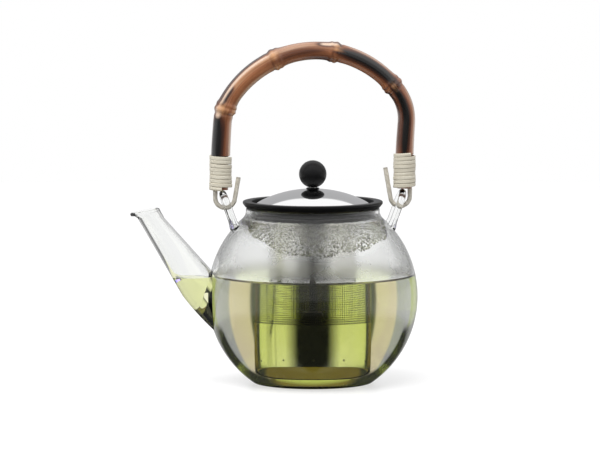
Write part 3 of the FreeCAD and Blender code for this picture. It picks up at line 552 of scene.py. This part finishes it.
stem_steel, nodes, links, shader = new_finish("drawn_rod_steel")
where = nodes.new("ShaderNodeTexCoord")
place = nodes.new("ShaderNodeSeparateXYZ")
links.new(where.outputs["Object"], place.inputs["Vector"])
BARE_STEEL, DARK_LOW_STEEL = (0.66, 0.65, 0.63), (0.05, 0.042, 0.025)
# The rod's colour fades to dark brown below 100 mm and is fully dark below 85 mm.
darker_low = overlaid(nodes, links, BARE_STEEL, place.outputs["Z"], 0.10, 0.085, DARK_LOW_STEEL)
links.new(darker_low, shader.inputs["Base Color"])
shader.inputs["Metallic"].default_value = 1
rubbed(nodes, links, shader, 0.1, 0.22, 300, 0.05)
rod.data.materials.append(stem_steel)
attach(rod, "plunger")
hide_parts("plunger_rod")
plate = turned("pressing_plate", (1.85, 40), [
    (25, 40), (25, 40.6), (23.6, 40.6), (23.6, 42.4), (25, 42.4), (25, 43), (6.6, 43), (4.4, 48),
    (1.85, 48), (1.85, 40),
])
plate.data.materials.append(black_plastic)
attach(plate, "plunger")
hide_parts("plunger_plate")
gasket = turned("plate_gasket", (23.65, 40.65), [
    (25.1, 40.65), (27.2, 42.5), (27.2, 43.1), (25.1, 42.35), (23.65, 42.35), (23.65, 40.65),
])
gasket.data.materials.append(soft_black)
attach(gasket, "plunger")
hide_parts("plunger_gasket")
for nut in ("plunger_nut", "bush_nut"):
    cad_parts[nut].data.materials.clear()
    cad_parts[nut].data.materials.append(stem_steel)

# The lid is a dome of mirror-polished stainless steel over a moulded plug that centres it in the collar.
# A flanged bush goes through both and guides the rod.
BUSH_HOLE = 3.5
insert = turned("lid_plug", (BUSH_HOLE, 113.62), [
    (7, 113.62), (7, 114.62), (31.1, 114.62), (31.1, 112.72), (33.1, 112.72), (33.1, 114.62), (35.9, 114.62),
    (35.9, 115.02), (33.1, 116.22), (7, 116.22), (7, 123.75), (BUSH_HOLE, 123.75), (BUSH_HOLE, 113.62),
])
insert.data.materials.append(black_plastic)
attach(insert, "lid")
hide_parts("lid_insert")
DOME_R, DOME_INSIDE = 75.72, 74.92
DOME_TOP = 125.02
DOME_EDGE = 115.42
DOME_Z = DOME_TOP - DOME_R
INNER_EDGE = 61.0
dome_low = math.degrees(math.asin((DOME_EDGE - DOME_Z) / DOME_R))
dome_high = 90 - math.degrees(math.asin(BUSH_HOLE / DOME_R))
hole_z = DOME_Z + math.sqrt(DOME_INSIDE ** 2 - BUSH_HOLE ** 2)
dome = turned("lid_dome_steel", (BUSH_HOLE, hole_z), [
    (0, DOME_Z, -(dome_high - INNER_EDGE), 40), (36.1, 114.62), (36.9, 114.62), (36.9, DOME_EDGE),
    (0, DOME_Z, dome_high - dome_low, 56), (BUSH_HOLE, hole_z),
], steps=192)
mirror, nodes, links, shader = new_finish("mirror_polished_steel")
shader.inputs["Base Color"].default_value = (0.8, 0.8, 0.8, 1)
shader.inputs["Metallic"].default_value = 1
rubbed(nodes, links, shader, 0.03, 0.07, 60, 0.01)
dome.data.materials.append(mirror)
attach(dome, "lid")
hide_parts("lid_dome")
bush = turned("rod_guide_bush", (2.3, 109.82), [
    (3.4, 109.82), (3.4, DOME_TOP), (4.4, DOME_TOP), (3.85, 125.72), (2.3, 125.72), (2.3, 109.82),
], steps=64)
bush.data.materials.append(black_plastic)
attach(bush, "lid")
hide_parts("rod_bush")

# The knob is a ball moulded in black plastic with a satin skin. It has a blind hole from below, by which
# it is pressed on to the top of the rod.
knob = turned("ball_knob", (0, 133.02), [
    (2.25, 133.02), (2.25, 126.02), (2.63, 126.02), (0, 134.47, 162.71, 56), (0, 143.32),
], steps=96)
satin_black, nodes, links, shader = new_finish("satin_black_ball")
shader.inputs["Base Color"].default_value = (0.008, 0.008, 0.0085, 1)
shader.inputs["Specular IOR Level"].default_value = 0.18
rubbed(nodes, links, shader, 0.3, 0.4, 350, 0.05)
knob.data.materials.append(satin_black)
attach(knob, "plunger")
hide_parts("knob")

# The bail is one length of bamboo bent over a flame, so its skin is scorched in long streaks. Its four
# joints keep their ridges and bud scars, and its ends are cut down where the bindings go.
LEG_X = 59.40
CANE_END = 124.83
LEG = 42.1
BEND = 34
RISE = 46.8
SPRING = CANE_END + LEG
SHOULDER_X = LEG_X - BEND
CROWN = (SHOULDER_X ** 2 + RISE ** 2 - BEND ** 2) / (2 * (RISE - BEND))
CROWN_Z = SPRING + RISE - CROWN
MEET = math.atan2(SPRING - CROWN_Z, SHOULDER_X)
SHOULDER = BEND * MEET
TOP = CROWN * (math.pi - 2 * MEET)
LENGTH = 2 * (LEG + SHOULDER) + TOP


def along_bail(s):
    """Centre and direction at a distance along the bail, from the end on the spout's side."""
    mirror = s > LENGTH / 2
    d = LENGTH - s if mirror else s
    if d < LEG:
        x, z, turn = -LEG_X, CANE_END + d, 0.0
    elif d < LEG + SHOULDER:
        turn = (d - LEG) / BEND
        x, z = -SHOULDER_X - BEND * math.cos(turn), SPRING + BEND * math.sin(turn)
    else:
        turn = MEET + (d - LEG - SHOULDER) / CROWN
        x, z = -CROWN * math.cos(turn), CROWN_Z + CROWN * math.sin(turn)
    if mirror:
        return Vector((-x, 0, z)), Vector((math.sin(turn), 0, -math.cos(turn)))
    return Vector((x, 0, z)), Vector((math.sin(turn), 0, math.cos(turn)))


JOINTS = [LEG + BEND * math.radians(15.4),
          LEG + SHOULDER + CROWN * (math.radians(65.8) - MEET),
          LENGTH - LEG - SHOULDER - CROWN * (math.radians(78.8) - MEET),
          LENGTH - LEG - SHOULDER - CROWN * (math.radians(40.5) - MEET)]
CANE_R = 5.85
CUT_R, CUT_LENGTH = 4.85, 21.5
CANE_SIDES = 40
CANE_RINGS = 420
GRAIN_R = 0.006
stations = [LENGTH * i / CANE_RINGS for i in range(CANE_RINGS + 1)]
bm = bmesh.new()
frames = []
for s in stations:
    centre, way = along_bail(s)
    swell = CANE_R + 0.2 * math.sin(s * 0.021 + 0.6) + 0.12 * math.sin(s * 0.09)
    for joint in JOINTS:
        toward = 1 if joint < LENGTH / 2 else -1
        d = (s - joint) * toward
        swell += 0.75 * math.exp(-(d / 1.5) ** 2) + 0.5 * math.exp(-((d - 3.2) / 1.2) ** 2)
        swell += 0.5 * math.exp(-((d - 1.2) / 5) ** 2) - 0.3 * math.exp(-((d + 2.6) / 0.9) ** 2)
    if min(s, LENGTH - s) < CUT_LENGTH:
        swell = CUT_R
    free = max(0.0, min(1.0, (min(s, LENGTH - s) - 18) / 45))
    wander = Vector((2.0 * free * free * (3 - 2 * free), 0.35 * math.sin(s * 0.05 + 1), 0))
    frames.append(ring_frame(centre + wander, way, (0, -1, 0), swell, swell))
drawn(bm, frames, CANE_SIDES)
bail = finished("bamboo_bail", bm, 60)

# Each mark: distance along, angle round (0 faces the front, 90 the outside of the bend), half length,
# half angle, strength.
SCORCH = [
    (31, 42, 17, 44, 1.4), (60, 40, 6, 22, 1.1), (76, 80, 26, 22, 1.0), (113, 5, 19, 34, 0.55),
    (128, -60, 13, 40, 0.6), (133, 52, 8, 21, 0.95), (161, 14, 22, 33, 1.4), (206, -8, 25, 25, 1.5),
    (206, -60, 25, 40, 0.6), (186, -75, 5, 26, 0.8), (36, 200, 34, 60, 1.1), (74, 172, 20, 40, 0.8),
    (112, 190, 17, 50, 1.0), (160, 176, 22, 40, 1.1), (205, 160, 24, 46, 1.1),
    *[(joint - 2.2, 0, 0.8, 400, 0.42) for joint in JOINTS],
]
# Pale marks: the drip by the first joint, the cream streak and the bud scar are the cane's own colour; the
# others, along the top of the crown and the inner and outer edges, are painted highlights.
PALE_MARKS_AND_HIGHLIGHTS = [
    (49.5, 48, 3.4, 20, 0.9), (76, 44, 24, 8, 1.0), (112, 62, 16, 26, 0.5), (133, 52, 5.5, 11, 1.1),
    (161, 68, 19, 22, 0.65), (208, -84, 24, 16, 0.4), (208, 66, 24, 24, 0.75), (30, -60, 20, 24, 0.55),
    (74, -62, 18, 22, 0.5), (113, -70, 16, 18, 0.45), (160, -70, 18, 18, 0.35),
]
for name in ("scorch", "pale", "joint"):
    bail.data.attributes.new(name, "FLOAT", "POINT")
bail.data.attributes.new("grain", "FLOAT_VECTOR", "POINT")
marks = bail.data.attributes
for v in bail.data.vertices:
    ring = v.index // CANE_SIDES
    s = stations[ring]
    outward = Vector((0, -1, 0)).cross(along_bail(s)[1])
    arm = v.co - frames[ring].translation
    around = math.atan2(arm.dot(outward), -arm.y)
    angle = math.degrees(around)
    marks["grain"].data[v.index].vector = (s * MM, math.cos(around) * GRAIN_R, math.sin(around) * GRAIN_R)
    for name, patches in (("scorch", SCORCH), ("pale", PALE_MARKS_AND_HIGHLIGHTS)):
        amount = 0.0
        for at, round_at, half, half_angle, strength in patches:
            da = (angle - round_at + 180) % 360 - 180
            reach = abs((s - at) / half) ** 4 + abs(da / half_angle) ** 2
            amount = max(amount, strength * math.exp(-0.7 * reach))
        marks[name].data[v.index].value = amount
    marks["joint"].data[v.index].value = max(math.exp(-((s - j) / 2.6) ** 2) for j in JOINTS)


def fibre_group():
    """Long fibres and flecks of cane, as two masks and a height."""
    tree = bpy.data.node_groups.new("cane_fibres", "ShaderNodeTree")
    tree.interface.new_socket("Vector", in_out="INPUT", socket_type="NodeSocketVector")
    for title, value in (("Fineness", 900.0), ("Length", 25.0)):
        tree.interface.new_socket(title, in_out="INPUT", socket_type="NodeSocketFloat").default_value = value
    for title in ("Streaks", "Flecks", "Height"):
        tree.interface.new_socket(title, in_out="OUTPUT", socket_type="NodeSocketFloat")
    given, made = tree.nodes.new("NodeGroupInput"), tree.nodes.new("NodeGroupOutput")
    squeeze = tree.nodes.new("ShaderNodeCombineXYZ")
    tree.links.new(given.outputs["Length"], squeeze.inputs["X"])
    tree.links.new(given.outputs["Fineness"], squeeze.inputs["Y"])
    tree.links.new(given.outputs["Fineness"], squeeze.inputs["Z"])
    stretch = tree.nodes.new("ShaderNodeVectorMath")
    stretch.operation = "MULTIPLY"
    tree.links.new(given.outputs["Vector"], stretch.inputs[0])
    tree.links.new(squeeze.outputs["Vector"], stretch.inputs[1])
    streaks = tree.nodes.new("ShaderNodeTexNoise")
    streaks.inputs["Scale"].default_value = 1
    streaks.inputs["Detail"].default_value = 5
    tree.links.new(stretch.outputs["Vector"], streaks.inputs["Vector"])
    flecks = tree.nodes.new("ShaderNodeTexNoise")
    flecks.inputs["Scale"].default_value = 0.28
    flecks.inputs["Detail"].default_value = 3
    tree.links.new(stretch.outputs["Vector"], flecks.inputs["Vector"])
    tree.links.new(streaks.outputs["Fac"], made.inputs["Streaks"])
    tree.links.new(flecks.outputs["Fac"], made.inputs["Flecks"])
    tree.links.new(streaks.outputs["Fac"], made.inputs["Height"])
    return tree


cane_fibres = fibre_group()


def fibrous(nodes, links, shader, attribute, fineness, length, bump):
    """Places the cane's fibres on a finish and raises them a little."""
    along = nodes.new("ShaderNodeAttribute")
    along.attribute_name = attribute
    fibres = nodes.new("ShaderNodeGroup")
    fibres.node_tree = cane_fibres
    fibres.inputs["Fineness"].default_value = fineness
    fibres.inputs["Length"].default_value = length
    links.new(along.outputs["Vector"], fibres.inputs["Vector"])
    raised = nodes.new("ShaderNodeBump")
    raised.inputs["Strength"].default_value = bump
    raised.inputs["Distance"].default_value = 0.0004
    links.new(fibres.outputs["Height"], raised.inputs["Height"])
    links.new(raised.outputs["Normal"], shader.inputs["Normal"])
    return fibres


def painted(nodes, name):
    """A mark that is stored on the piece's own points."""
    mark = nodes.new("ShaderNodeAttribute")
    mark.attribute_name = name
    return mark.outputs["Fac"]


def combined(nodes, links, operation, first, second):
    """Works out one value from two, either of them a socket or a plain number."""
    maths = nodes.new("ShaderNodeMath")
    maths.operation = operation
    for socket, value in zip(maths.inputs, (first, second)):
        if isinstance(value, float):
            socket.default_value = value
        else:
            links.new(value, socket)
    return maths.outputs["Value"]


def frayed(nodes, links, mask, fibre, amount):
    """Frays the edge of a mark along the fibres."""
    swing = combined(nodes, links, "SUBTRACT", fibre, 0.5)
    return combined(nodes, links, "ADD", mask, combined(nodes, links, "MULTIPLY", swing, amount))


flamed, nodes, links, shader = new_finish("flame_bent_bamboo")
fibres = fibrous(nodes, links, shader, "grain", 900, 30, 0.25)
streaks, flecks = fibres.outputs["Streaks"], fibres.outputs["Flecks"]
skin = overlaid(nodes, links, (0.16, 0.047, 0.016), streaks, 0.3, 0.7, (0.45, 0.175, 0.07))
skin = overlaid(nodes, links, skin, flecks, 0.5, 0.8, (0.57, 0.32, 0.16))
ragged = frayed(nodes, links, painted(nodes, "scorch"), streaks, 0.7)
skin = overlaid(nodes, links, skin, ragged, 0.1, 0.6, (0.105, 0.030, 0.012))
skin = overlaid(nodes, links, skin, ragged, 0.42, 1.05, (0.007, 0.006, 0.0055))
# Pale cane and painted highlights, laid over the skin.
pale_and_highlit = frayed(nodes, links, painted(nodes, "pale"), flecks, 0.8)
skin = overlaid(nodes, links, skin, pale_and_highlit, 0.25, 0.8, (0.66, 0.48, 0.36))
edge = combined(nodes, links, "MULTIPLY", painted(nodes, "joint"), stepped(nodes, links, flecks, 0.4, 0.6))
skin = blended(nodes, links, combined(nodes, links, "MULTIPLY", edge, 0.75), skin, (0.60, 0.30, 0.13))
links.new(skin, shader.inputs["Base Color"])
dull = combined(nodes, links, "ADD", combined(nodes, links, "MULTIPLY", streaks, 0.3), 0.16)
links.new(dull, shader.inputs["Roughness"])
shader.inputs["Coat Weight"].default_value = 0.6
shader.inputs["Coat Roughness"].default_value = 0.18
bail.data.materials.append(flamed)
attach(bail, "handle")
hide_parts("bamboo_handle")

# Two hooks of thin round cane are let into the ends of the bail and hang in the glass loops. Their tails
# stand free and end in a plain slanting cut.
HOOK_X, HOOK_Z = 56.6, 119.63
HOOK_BEND = 6.3
HOOK_R = 1.45
HOOK_SIDES = 20
HOOK_LEAN = math.radians(10)
CUT_DEPTH = 2.2
hook_cane, nodes, links, shader = new_finish("round_rattan_core")
fibres = fibrous(nodes, links, shader, "grain", 1600, 60, 0.35)
bark = overlaid(nodes, links, (0.50, 0.46, 0.38), fibres.outputs["Streaks"], 0.3, 0.7, (0.78, 0.74, 0.65))
bark = overlaid(nodes, links, bark, painted(nodes, "cut_end"), 0.2, 0.6, (0.05, 0.035, 0.025))
links.new(bark, shader.inputs["Base Color"])
shader.inputs["Roughness"].default_value = 0.5
for side, name, tail in ((-1, "left", 14.5), (1, "right", 20.0)):
    bend = [(math.pi - HOOK_LEAN) * i / 22 for i in range(23)]
    path = [(HOOK_X + HOOK_BEND, CANE_END + 15 - i * 2.02) for i in range(10)]
    path += [(HOOK_X + HOOK_BEND * math.cos(a), HOOK_Z - HOOK_BEND * math.sin(a)) for a in bend]
    end_x, end_z = path[-1]
    tail_steps = [tail * i / 8 for i in range(1, 9)]
    path += [(end_x - math.sin(HOOK_LEAN) * d, end_z + math.cos(HOOK_LEAN) * d) for d in tail_steps]
    bm = bmesh.new()
    frames = []
    for i, (x, z) in enumerate(path):
        ahead, behind = path[min(i + 1, len(path) - 1)], path[max(i - 1, 0)]
        way = (side * (ahead[0] - behind[0]), 0, ahead[1] - behind[1])
        radius = HOOK_R + 0.05 * math.sin(i * 1.7)
        frames.append(ring_frame((side * x, 0, z), way, (0, 1, 0), radius, radius))
    drawn(bm, frames, HOOK_SIDES)
    hook = finished(f"{name}_cane_hook", bm, 50)
    hook.data.attributes.new("grain", "FLOAT_VECTOR", "POINT")
    hook.data.attributes.new("cut_end", "FLOAT", "POINT")
    marks = hook.data.attributes
    tip = Vector((side * path[-1][0], 0, path[-1][1]))
    for v in hook.data.vertices:
        point = v.co / MM
        across = (point.x + point.z) * MM * 0.3
        marks["grain"].data[v.index].vector = (v.index // HOOK_SIDES * 0.002, point.y * MM, across)
        marks["cut_end"].data[v.index].value = max(0.0, 1 - (point - tip).length / CUT_DEPTH)
    hook.data.materials.append(hook_cane)
    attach(hook, "handle")
    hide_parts(f"{name}_hook")

# Each end is lashed to its hook with one long strip of split rattan, wound flat and tight from the bottom
# up. The lower turns bulge over the hook and the last turn slants off the top.
STRIP_SIDES = 16
STRIP_TURNS = 8.6
STRIP_PITCH = 2.45
STRIP_STEPS = 48
STRIP_R = 6.55
HALF_STRIP = 0.5
split_cane, nodes, links, shader = new_finish("split_rattan_strip")
fibres = fibrous(nodes, links, shader, "grain", 2600, 60, 0.3)
strip = overlaid(nodes, links, (0.56, 0.51, 0.40), fibres.outputs["Streaks"], 0.3, 0.7, (0.78, 0.74, 0.62))
strip = overlaid(nodes, links, strip, fibres.outputs["Flecks"], 0.58, 0.72, (0.46, 0.39, 0.27))
links.new(strip, shader.inputs["Base Color"])
shader.inputs["Roughness"].default_value = 0.45
for side, name, seed in ((-1, "left", 3), (1, "right", 11)):
    chance = random.Random(seed)
    slack = [chance.uniform(-0.16, 0.16) for i in range(11)]
    bulge = [chance.uniform(-0.18, 0.22) for i in range(11)]
    bm = bmesh.new()
    frames = []
    for i in range(int(STRIP_TURNS * STRIP_STEPS) + 1):
        u = i / STRIP_STEPS
        k = int(u)
        f = u - k
        turn = 2 * math.pi * u * side + side * math.pi / 2
        lift = u * STRIP_PITCH + slack[k] * (1 - f) + slack[k + 1] * f
        radius = STRIP_R + bulge[k] * (1 - f) + bulge[k + 1] * f + 0.35 * max(0.0, 1 - u / 3)
        radial = Vector((math.cos(turn), math.sin(turn), 0))
        place = Vector((side * LEG_X, 0, CANE_END + 0.9 + lift)) + radial * radius
        way = Vector((-math.sin(turn) * side, math.cos(turn) * side, 0.06))
        frames.append(ring_frame(place, way, radial, 1.2, 1.0 if 0.15 < u < STRIP_TURNS - 0.15 else 0.6))
    drawn(bm, frames, STRIP_SIDES)
    bm.verts.ensure_lookup_table()
    for i, v in enumerate(bm.verts):
        centre = frames[i // STRIP_SIDES].translation
        radial = Vector((centre.x - side * LEG_X * MM, centre.y, 0)).normalized()
        stand = (v.co - centre).dot(radial)
        v.co += radial * (max(-HALF_STRIP * MM, min(HALF_STRIP * MM, stand)) - stand)
    lashing = finished(f"{name}_rattan_lashing", bm, 60)
    lengths = lashing.data.attributes.new("grain", "FLOAT_VECTOR", "POINT")
    for v in lashing.data.vertices:
        point = v.co / MM
        turn = math.atan2(point.y, point.x - side * LEG_X)
        climb = turn * STRIP_PITCH / (2 * math.pi) * side
        lengths.data[v.index].vector = (turn * 0.0066, (point.z - climb) * MM, 0.0)
    lashing.data.materials.append(split_cane)
    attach(lashing, "handle")
    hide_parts(f"{name}_binding")

# The studio is a round white floor with a faint sheen under one large soft lamp. Its softboxes and dark cards
# are colours of the world, which only rays through glass and tea or off polished faces can meet.
FLOOR_R = 1.6
bm = bmesh.new()
bmesh.ops.create_circle(bm, cap_ends=True, segments=96, radius=FLOOR_R)
ground = finished("studio_floor", bm)
white, nodes, links, shader = new_finish("white_sweep")
shader.inputs["Base Color"].default_value = (0.5, 0.5, 0.5, 1)
shader.inputs["Specular IOR Level"].default_value = 0.08
where = nodes.new("ShaderNodeTexCoord")
sheen = nodes.new("ShaderNodeTexNoise")
sheen.inputs["Scale"].default_value = 6
links.new(where.outputs["Object"], sheen.inputs["Vector"])
gloss = nodes.new("ShaderNodeMapRange")
gloss.inputs["To Min"].default_value = 0.2
gloss.inputs["To Max"].default_value = 0.3
links.new(sheen.outputs["Fac"], gloss.inputs["Value"])
links.new(gloss.outputs["Result"], shader.inputs["Roughness"])
looked_at = nodes.new("ShaderNodeLightPath")
shader.inputs["Emission Color"].default_value = (1, 1, 1, 1)
shown = combined(nodes, links, "MAXIMUM", looked_at.outputs["Is Camera Ray"],
                 looked_at.outputs["Is Glossy Ray"])
lifted = combined(nodes, links, "MULTIPLY", shown, 0.60)
links.new(lifted, shader.inputs["Emission Strength"])
ground.data.materials.append(white)
ground.visible_transmission = False
ground.visible_glossy = False

VIEW = math.radians(-6.5)
world = bpy.data.worlds.new("studio")
bpy.context.scene.world = world
world.use_nodes = True
nodes, links = world.node_tree.nodes, world.node_tree.links
way = nodes.new("ShaderNodeTexCoord")
facing = nodes.new("ShaderNodeMapping")
facing.inputs["Rotation"].default_value = (0, 0, -VIEW)
links.new(way.outputs["Generated"], facing.inputs["Vector"])
parts = nodes.new("ShaderNodeSeparateXYZ")
links.new(facing.outputs["Vector"], parts.inputs["Vector"])
round_angle = combined(nodes, links, "ARCTAN2", parts.outputs["X"], parts.outputs["Y"])
share = combined(nodes, links, "DIVIDE", combined(nodes, links, "ABSOLUTE", round_angle, 0.0), math.pi)
folded = combined(nodes, links, "MINIMUM", share, combined(nodes, links, "SUBTRACT", 1.0, share))


def card_ring(place, cards):
    """A ring of cards and softboxes round the pot. Each has the angles from straight behind the pot at
    which it begins and ends, and a colour, and fades into the next."""
    stops = [(angle, colour) for begin, end, colour in cards for angle in sorted({begin, end})]
    ring = nodes.new("ShaderNodeValToRGB")
    elements = ring.color_ramp.elements
    while len(elements) < len(stops):
        elements.new(1)
    for element, (angle, colour) in zip(elements, stops):
        element.position = angle / 180
    for element, (angle, colour) in zip(elements, stops):
        element.color = (*colour, 1)
    links.new(place, ring.inputs["Fac"])
    return ring.outputs["Color"]


def grey(level):
    """A grey of one level."""
    return (level, level, level)


DARK = grey(0.02)
OLIVE = (0.27, 0.19, 0.08)
height = parts.outputs["Z"]

# Straight through: glass alone, or glass and tea, with a dark strip behind the basket and a dark card at
# the side.
past_glass = card_ring(folded, [
    (0, 40, grey(1)), (46, 58, (0.7, 0.7, 0.71)), (64, 74, grey(0.12)), (82, 90, grey(1))])
past_tea = card_ring(folded, [
    (0, 16.5, (0.88, 0.88, 0.58)), (17, 18.8, grey(0.1)), (19.8, 30.5, (1.1, 0.86, 1.9)),
    (32, 46, (0.61, 0.55, 1.7)), (49, 90, (0.5, 0.52, 0.35))])
above_tea = card_ring(folded, [(0, 14, (0.33, 0.24, 0.1)), (22, 90, DARK)])
strip_card = combined(nodes, links, "MULTIPLY", stepped(nodes, links, folded, 7.0 / 180, 3.8 / 180),
                      stepped(nodes, links, height, 0.24, 0.06))
past_tea = blended(nodes, links, strip_card, past_tea, (0.03, 0.034, 0.016))
edge_card = combined(nodes, links, "MULTIPLY", stepped(nodes, links, parts.outputs["Y"], 0.755, 0.725),
                     stepped(nodes, links, height, 0.13, 0.2))
past_tea = blended(nodes, links, edge_card, past_tea, grey(0.015))
past_tea = overlaid(nodes, links, past_tea, height, 0.44, 0.50, above_tea)
past_tea = overlaid(nodes, links, past_tea, height, -0.32, -0.42, (0.28, 0.26, 0.2))
past_tea = overlaid(nodes, links, past_tea, height, -0.5, -0.6, grey(0.95))

# Turned back: by the basket in the tea, in the tea's rim, by the steamed wall, in a glass loop or by the
# lid.
off_basket = card_ring(share, [
    (0, 17, OLIVE), (19, 29, grey(0.04)), (36, 115, (1.2, 1.2, 0.86)), (146, 180, grey(0.012))])
off_basket = overlaid(nodes, links, off_basket, height, 0.36, 0.46, DARK)
off_basket = overlaid(nodes, links, off_basket, height, -0.25, -0.35, DARK)
in_rim = card_ring(share, [(0, 14, OLIVE), (22, 60, (0.7, 0.76, 0.36)), (90, 180, DARK)])
low_wall = card_ring(share, [(0, 80, grey(0.25)), (100, 128, (0.6, 0.62, 0.45)), (146, 180, DARK)])
in_mist = card_ring(share, [(0, 0, grey(1)), (60, 126, grey(1.2)), (148, 180, DARK)])
in_mist = overlaid(nodes, links, in_mist, height, -0.2, -0.3, low_wall)
in_rod = overlaid(nodes, links, grey(0.6), height, -0.2, -0.3, low_wall)
off_lid = card_ring(share, [
    (0, 0, grey(0.5)), (15, 15, grey(0.6)), (30, 100, grey(1.1)), (125, 125, grey(0.05)),
    (180, 180, grey(0.03))])
off_lid = overlaid(nodes, links, off_lid, height, -0.22, -0.32, grey(0.05))
off_lid = overlaid(nodes, links, off_lid, height, -0.02, 0.03, (0.5, 0.5, 0.51))
flared = combined(nodes, links, "ADD", height, combined(nodes, links, "MULTIPLY", folded, 1.11))
off_lid = overlaid(nodes, links, off_lid, flared, 0.68, 0.72, grey(1.2))

# A ray's way is told by how many clear faces it has passed and how often it was mirrored.
path = nodes.new("ShaderNodeLightPath")
faces, mirrors = path.outputs["Transmission Depth"], path.outputs["Glossy Depth"]
inside = combined(nodes, links, "GREATER_THAN", faces, 0.5)
through_wall = combined(nodes, links, "GREATER_THAN", faces, 2.5)
through_tea = combined(nodes, links, "GREATER_THAN", faces, 4.5)
mirrored = combined(nodes, links, "GREATER_THAN", mirrors, 0.5)
mirrored_again = combined(nodes, links, "GREATER_THAN", mirrors, 1.5)
straight = blended(nodes, links, through_tea, past_glass, past_tea)
off_basket = blended(nodes, links, mirrored_again, off_basket, in_rim)
off_wall = blended(nodes, links, through_tea, in_mist, off_basket)
turned_back = blended(nodes, links, through_wall, in_rod, off_wall)
turned_back = blended(nodes, links, inside, off_lid, turned_back)
seen = blended(nodes, links, mirrored, straight, turned_back)
bounced = combined(nodes, links, "MAXIMUM", path.outputs["Is Glossy Ray"],
                   path.outputs["Is Transmission Ray"])
lit = blended(nodes, links, bounced, grey(0.65), seen)
lit = blended(nodes, links, path.outputs["Is Camera Ray"], lit, grey(1.0))
links.new(lit, nodes["Background"].inputs["Color"])

# Two pale cards, which glow with their own light, stand beside the foot of the spout. Only rays that have
# passed through glass meet them.
CARD_X, CARD_Z = -96.8, 44
CARD_WIDE, CARD_TALL = 56, 48
glow_card, nodes, links, shader = new_finish("spout_glow_card")
shader.inputs["Base Color"].default_value = (0.004, 0.004, 0.004, 1)
shader.inputs["Specular IOR Level"].default_value = 0
shader.inputs["Emission Color"].default_value = (0.9, 0.9, 0.62, 1)
shader.inputs["Emission Strength"].default_value = 1
for name, y in (("spout_card_back", 13), ("spout_card_front", -13)):
    bm = bmesh.new()
    bmesh.ops.create_grid(bm, x_segments=1, y_segments=1, size=0.5)
    stand = Matrix.Translation(Vector((CARD_X, y, CARD_Z)) * MM) @ Matrix.Rotation(math.pi / 2, 4, "X")
    sheet = Matrix.Diagonal((CARD_WIDE * MM, CARD_TALL * MM, 1, 1))
    bmesh.ops.transform(bm, verts=bm.verts, matrix=stand @ sheet)
    card = finished(name, bm)
    card.data.materials.append(glow_card)
    card.visible_camera = card.visible_diffuse = card.visible_glossy = card.visible_shadow = False

lamp = bpy.data.lights.new("overhead_softbox", "AREA")
lamp.shape = "RECTANGLE"
lamp.size, lamp.size_y = 1.2, 0.9
lamp.energy = 18
softbox = bpy.data.objects.new("overhead_softbox", lamp)
softbox.location = (-0.35, -0.5, 1.35)
softbox.rotation_euler = (Vector((0, 0, 0.1)) - softbox.location).to_track_quat("-Z", "Y").to_euler()
softbox.visible_glossy = False
softbox.visible_transmission = False
softbox.visible_camera = False
bpy.context.scene.collection.objects.link(softbox)

# The camera stands far off and a little to the left of the front, as the photograph's did.
CAMERA_FAR, CAMERA_RISE = 2.8, 0.2554
VIEW_WIDTH = 0.384
AIM_SIDE, AIM_Z = -0.0082, 0.1016
view = bpy.data.cameras.new("photo_view")
view.sensor_width = 36
view.lens = 36 * CAMERA_FAR / VIEW_WIDTH
target = Vector((AIM_SIDE * math.cos(VIEW), AIM_SIDE * math.sin(VIEW), AIM_Z))
camera = bpy.data.objects.new("photo_view", view)
camera.location = target + Vector((CAMERA_FAR * math.sin(VIEW), -CAMERA_FAR * math.cos(VIEW), CAMERA_RISE))
camera.rotation_euler = (target - camera.location).to_track_quat("-Z", "Y").to_euler()
bpy.context.scene.collection.objects.link(camera)
bpy.context.scene.camera = camera
bpy.context.scene.view_settings.view_transform = "Standard"
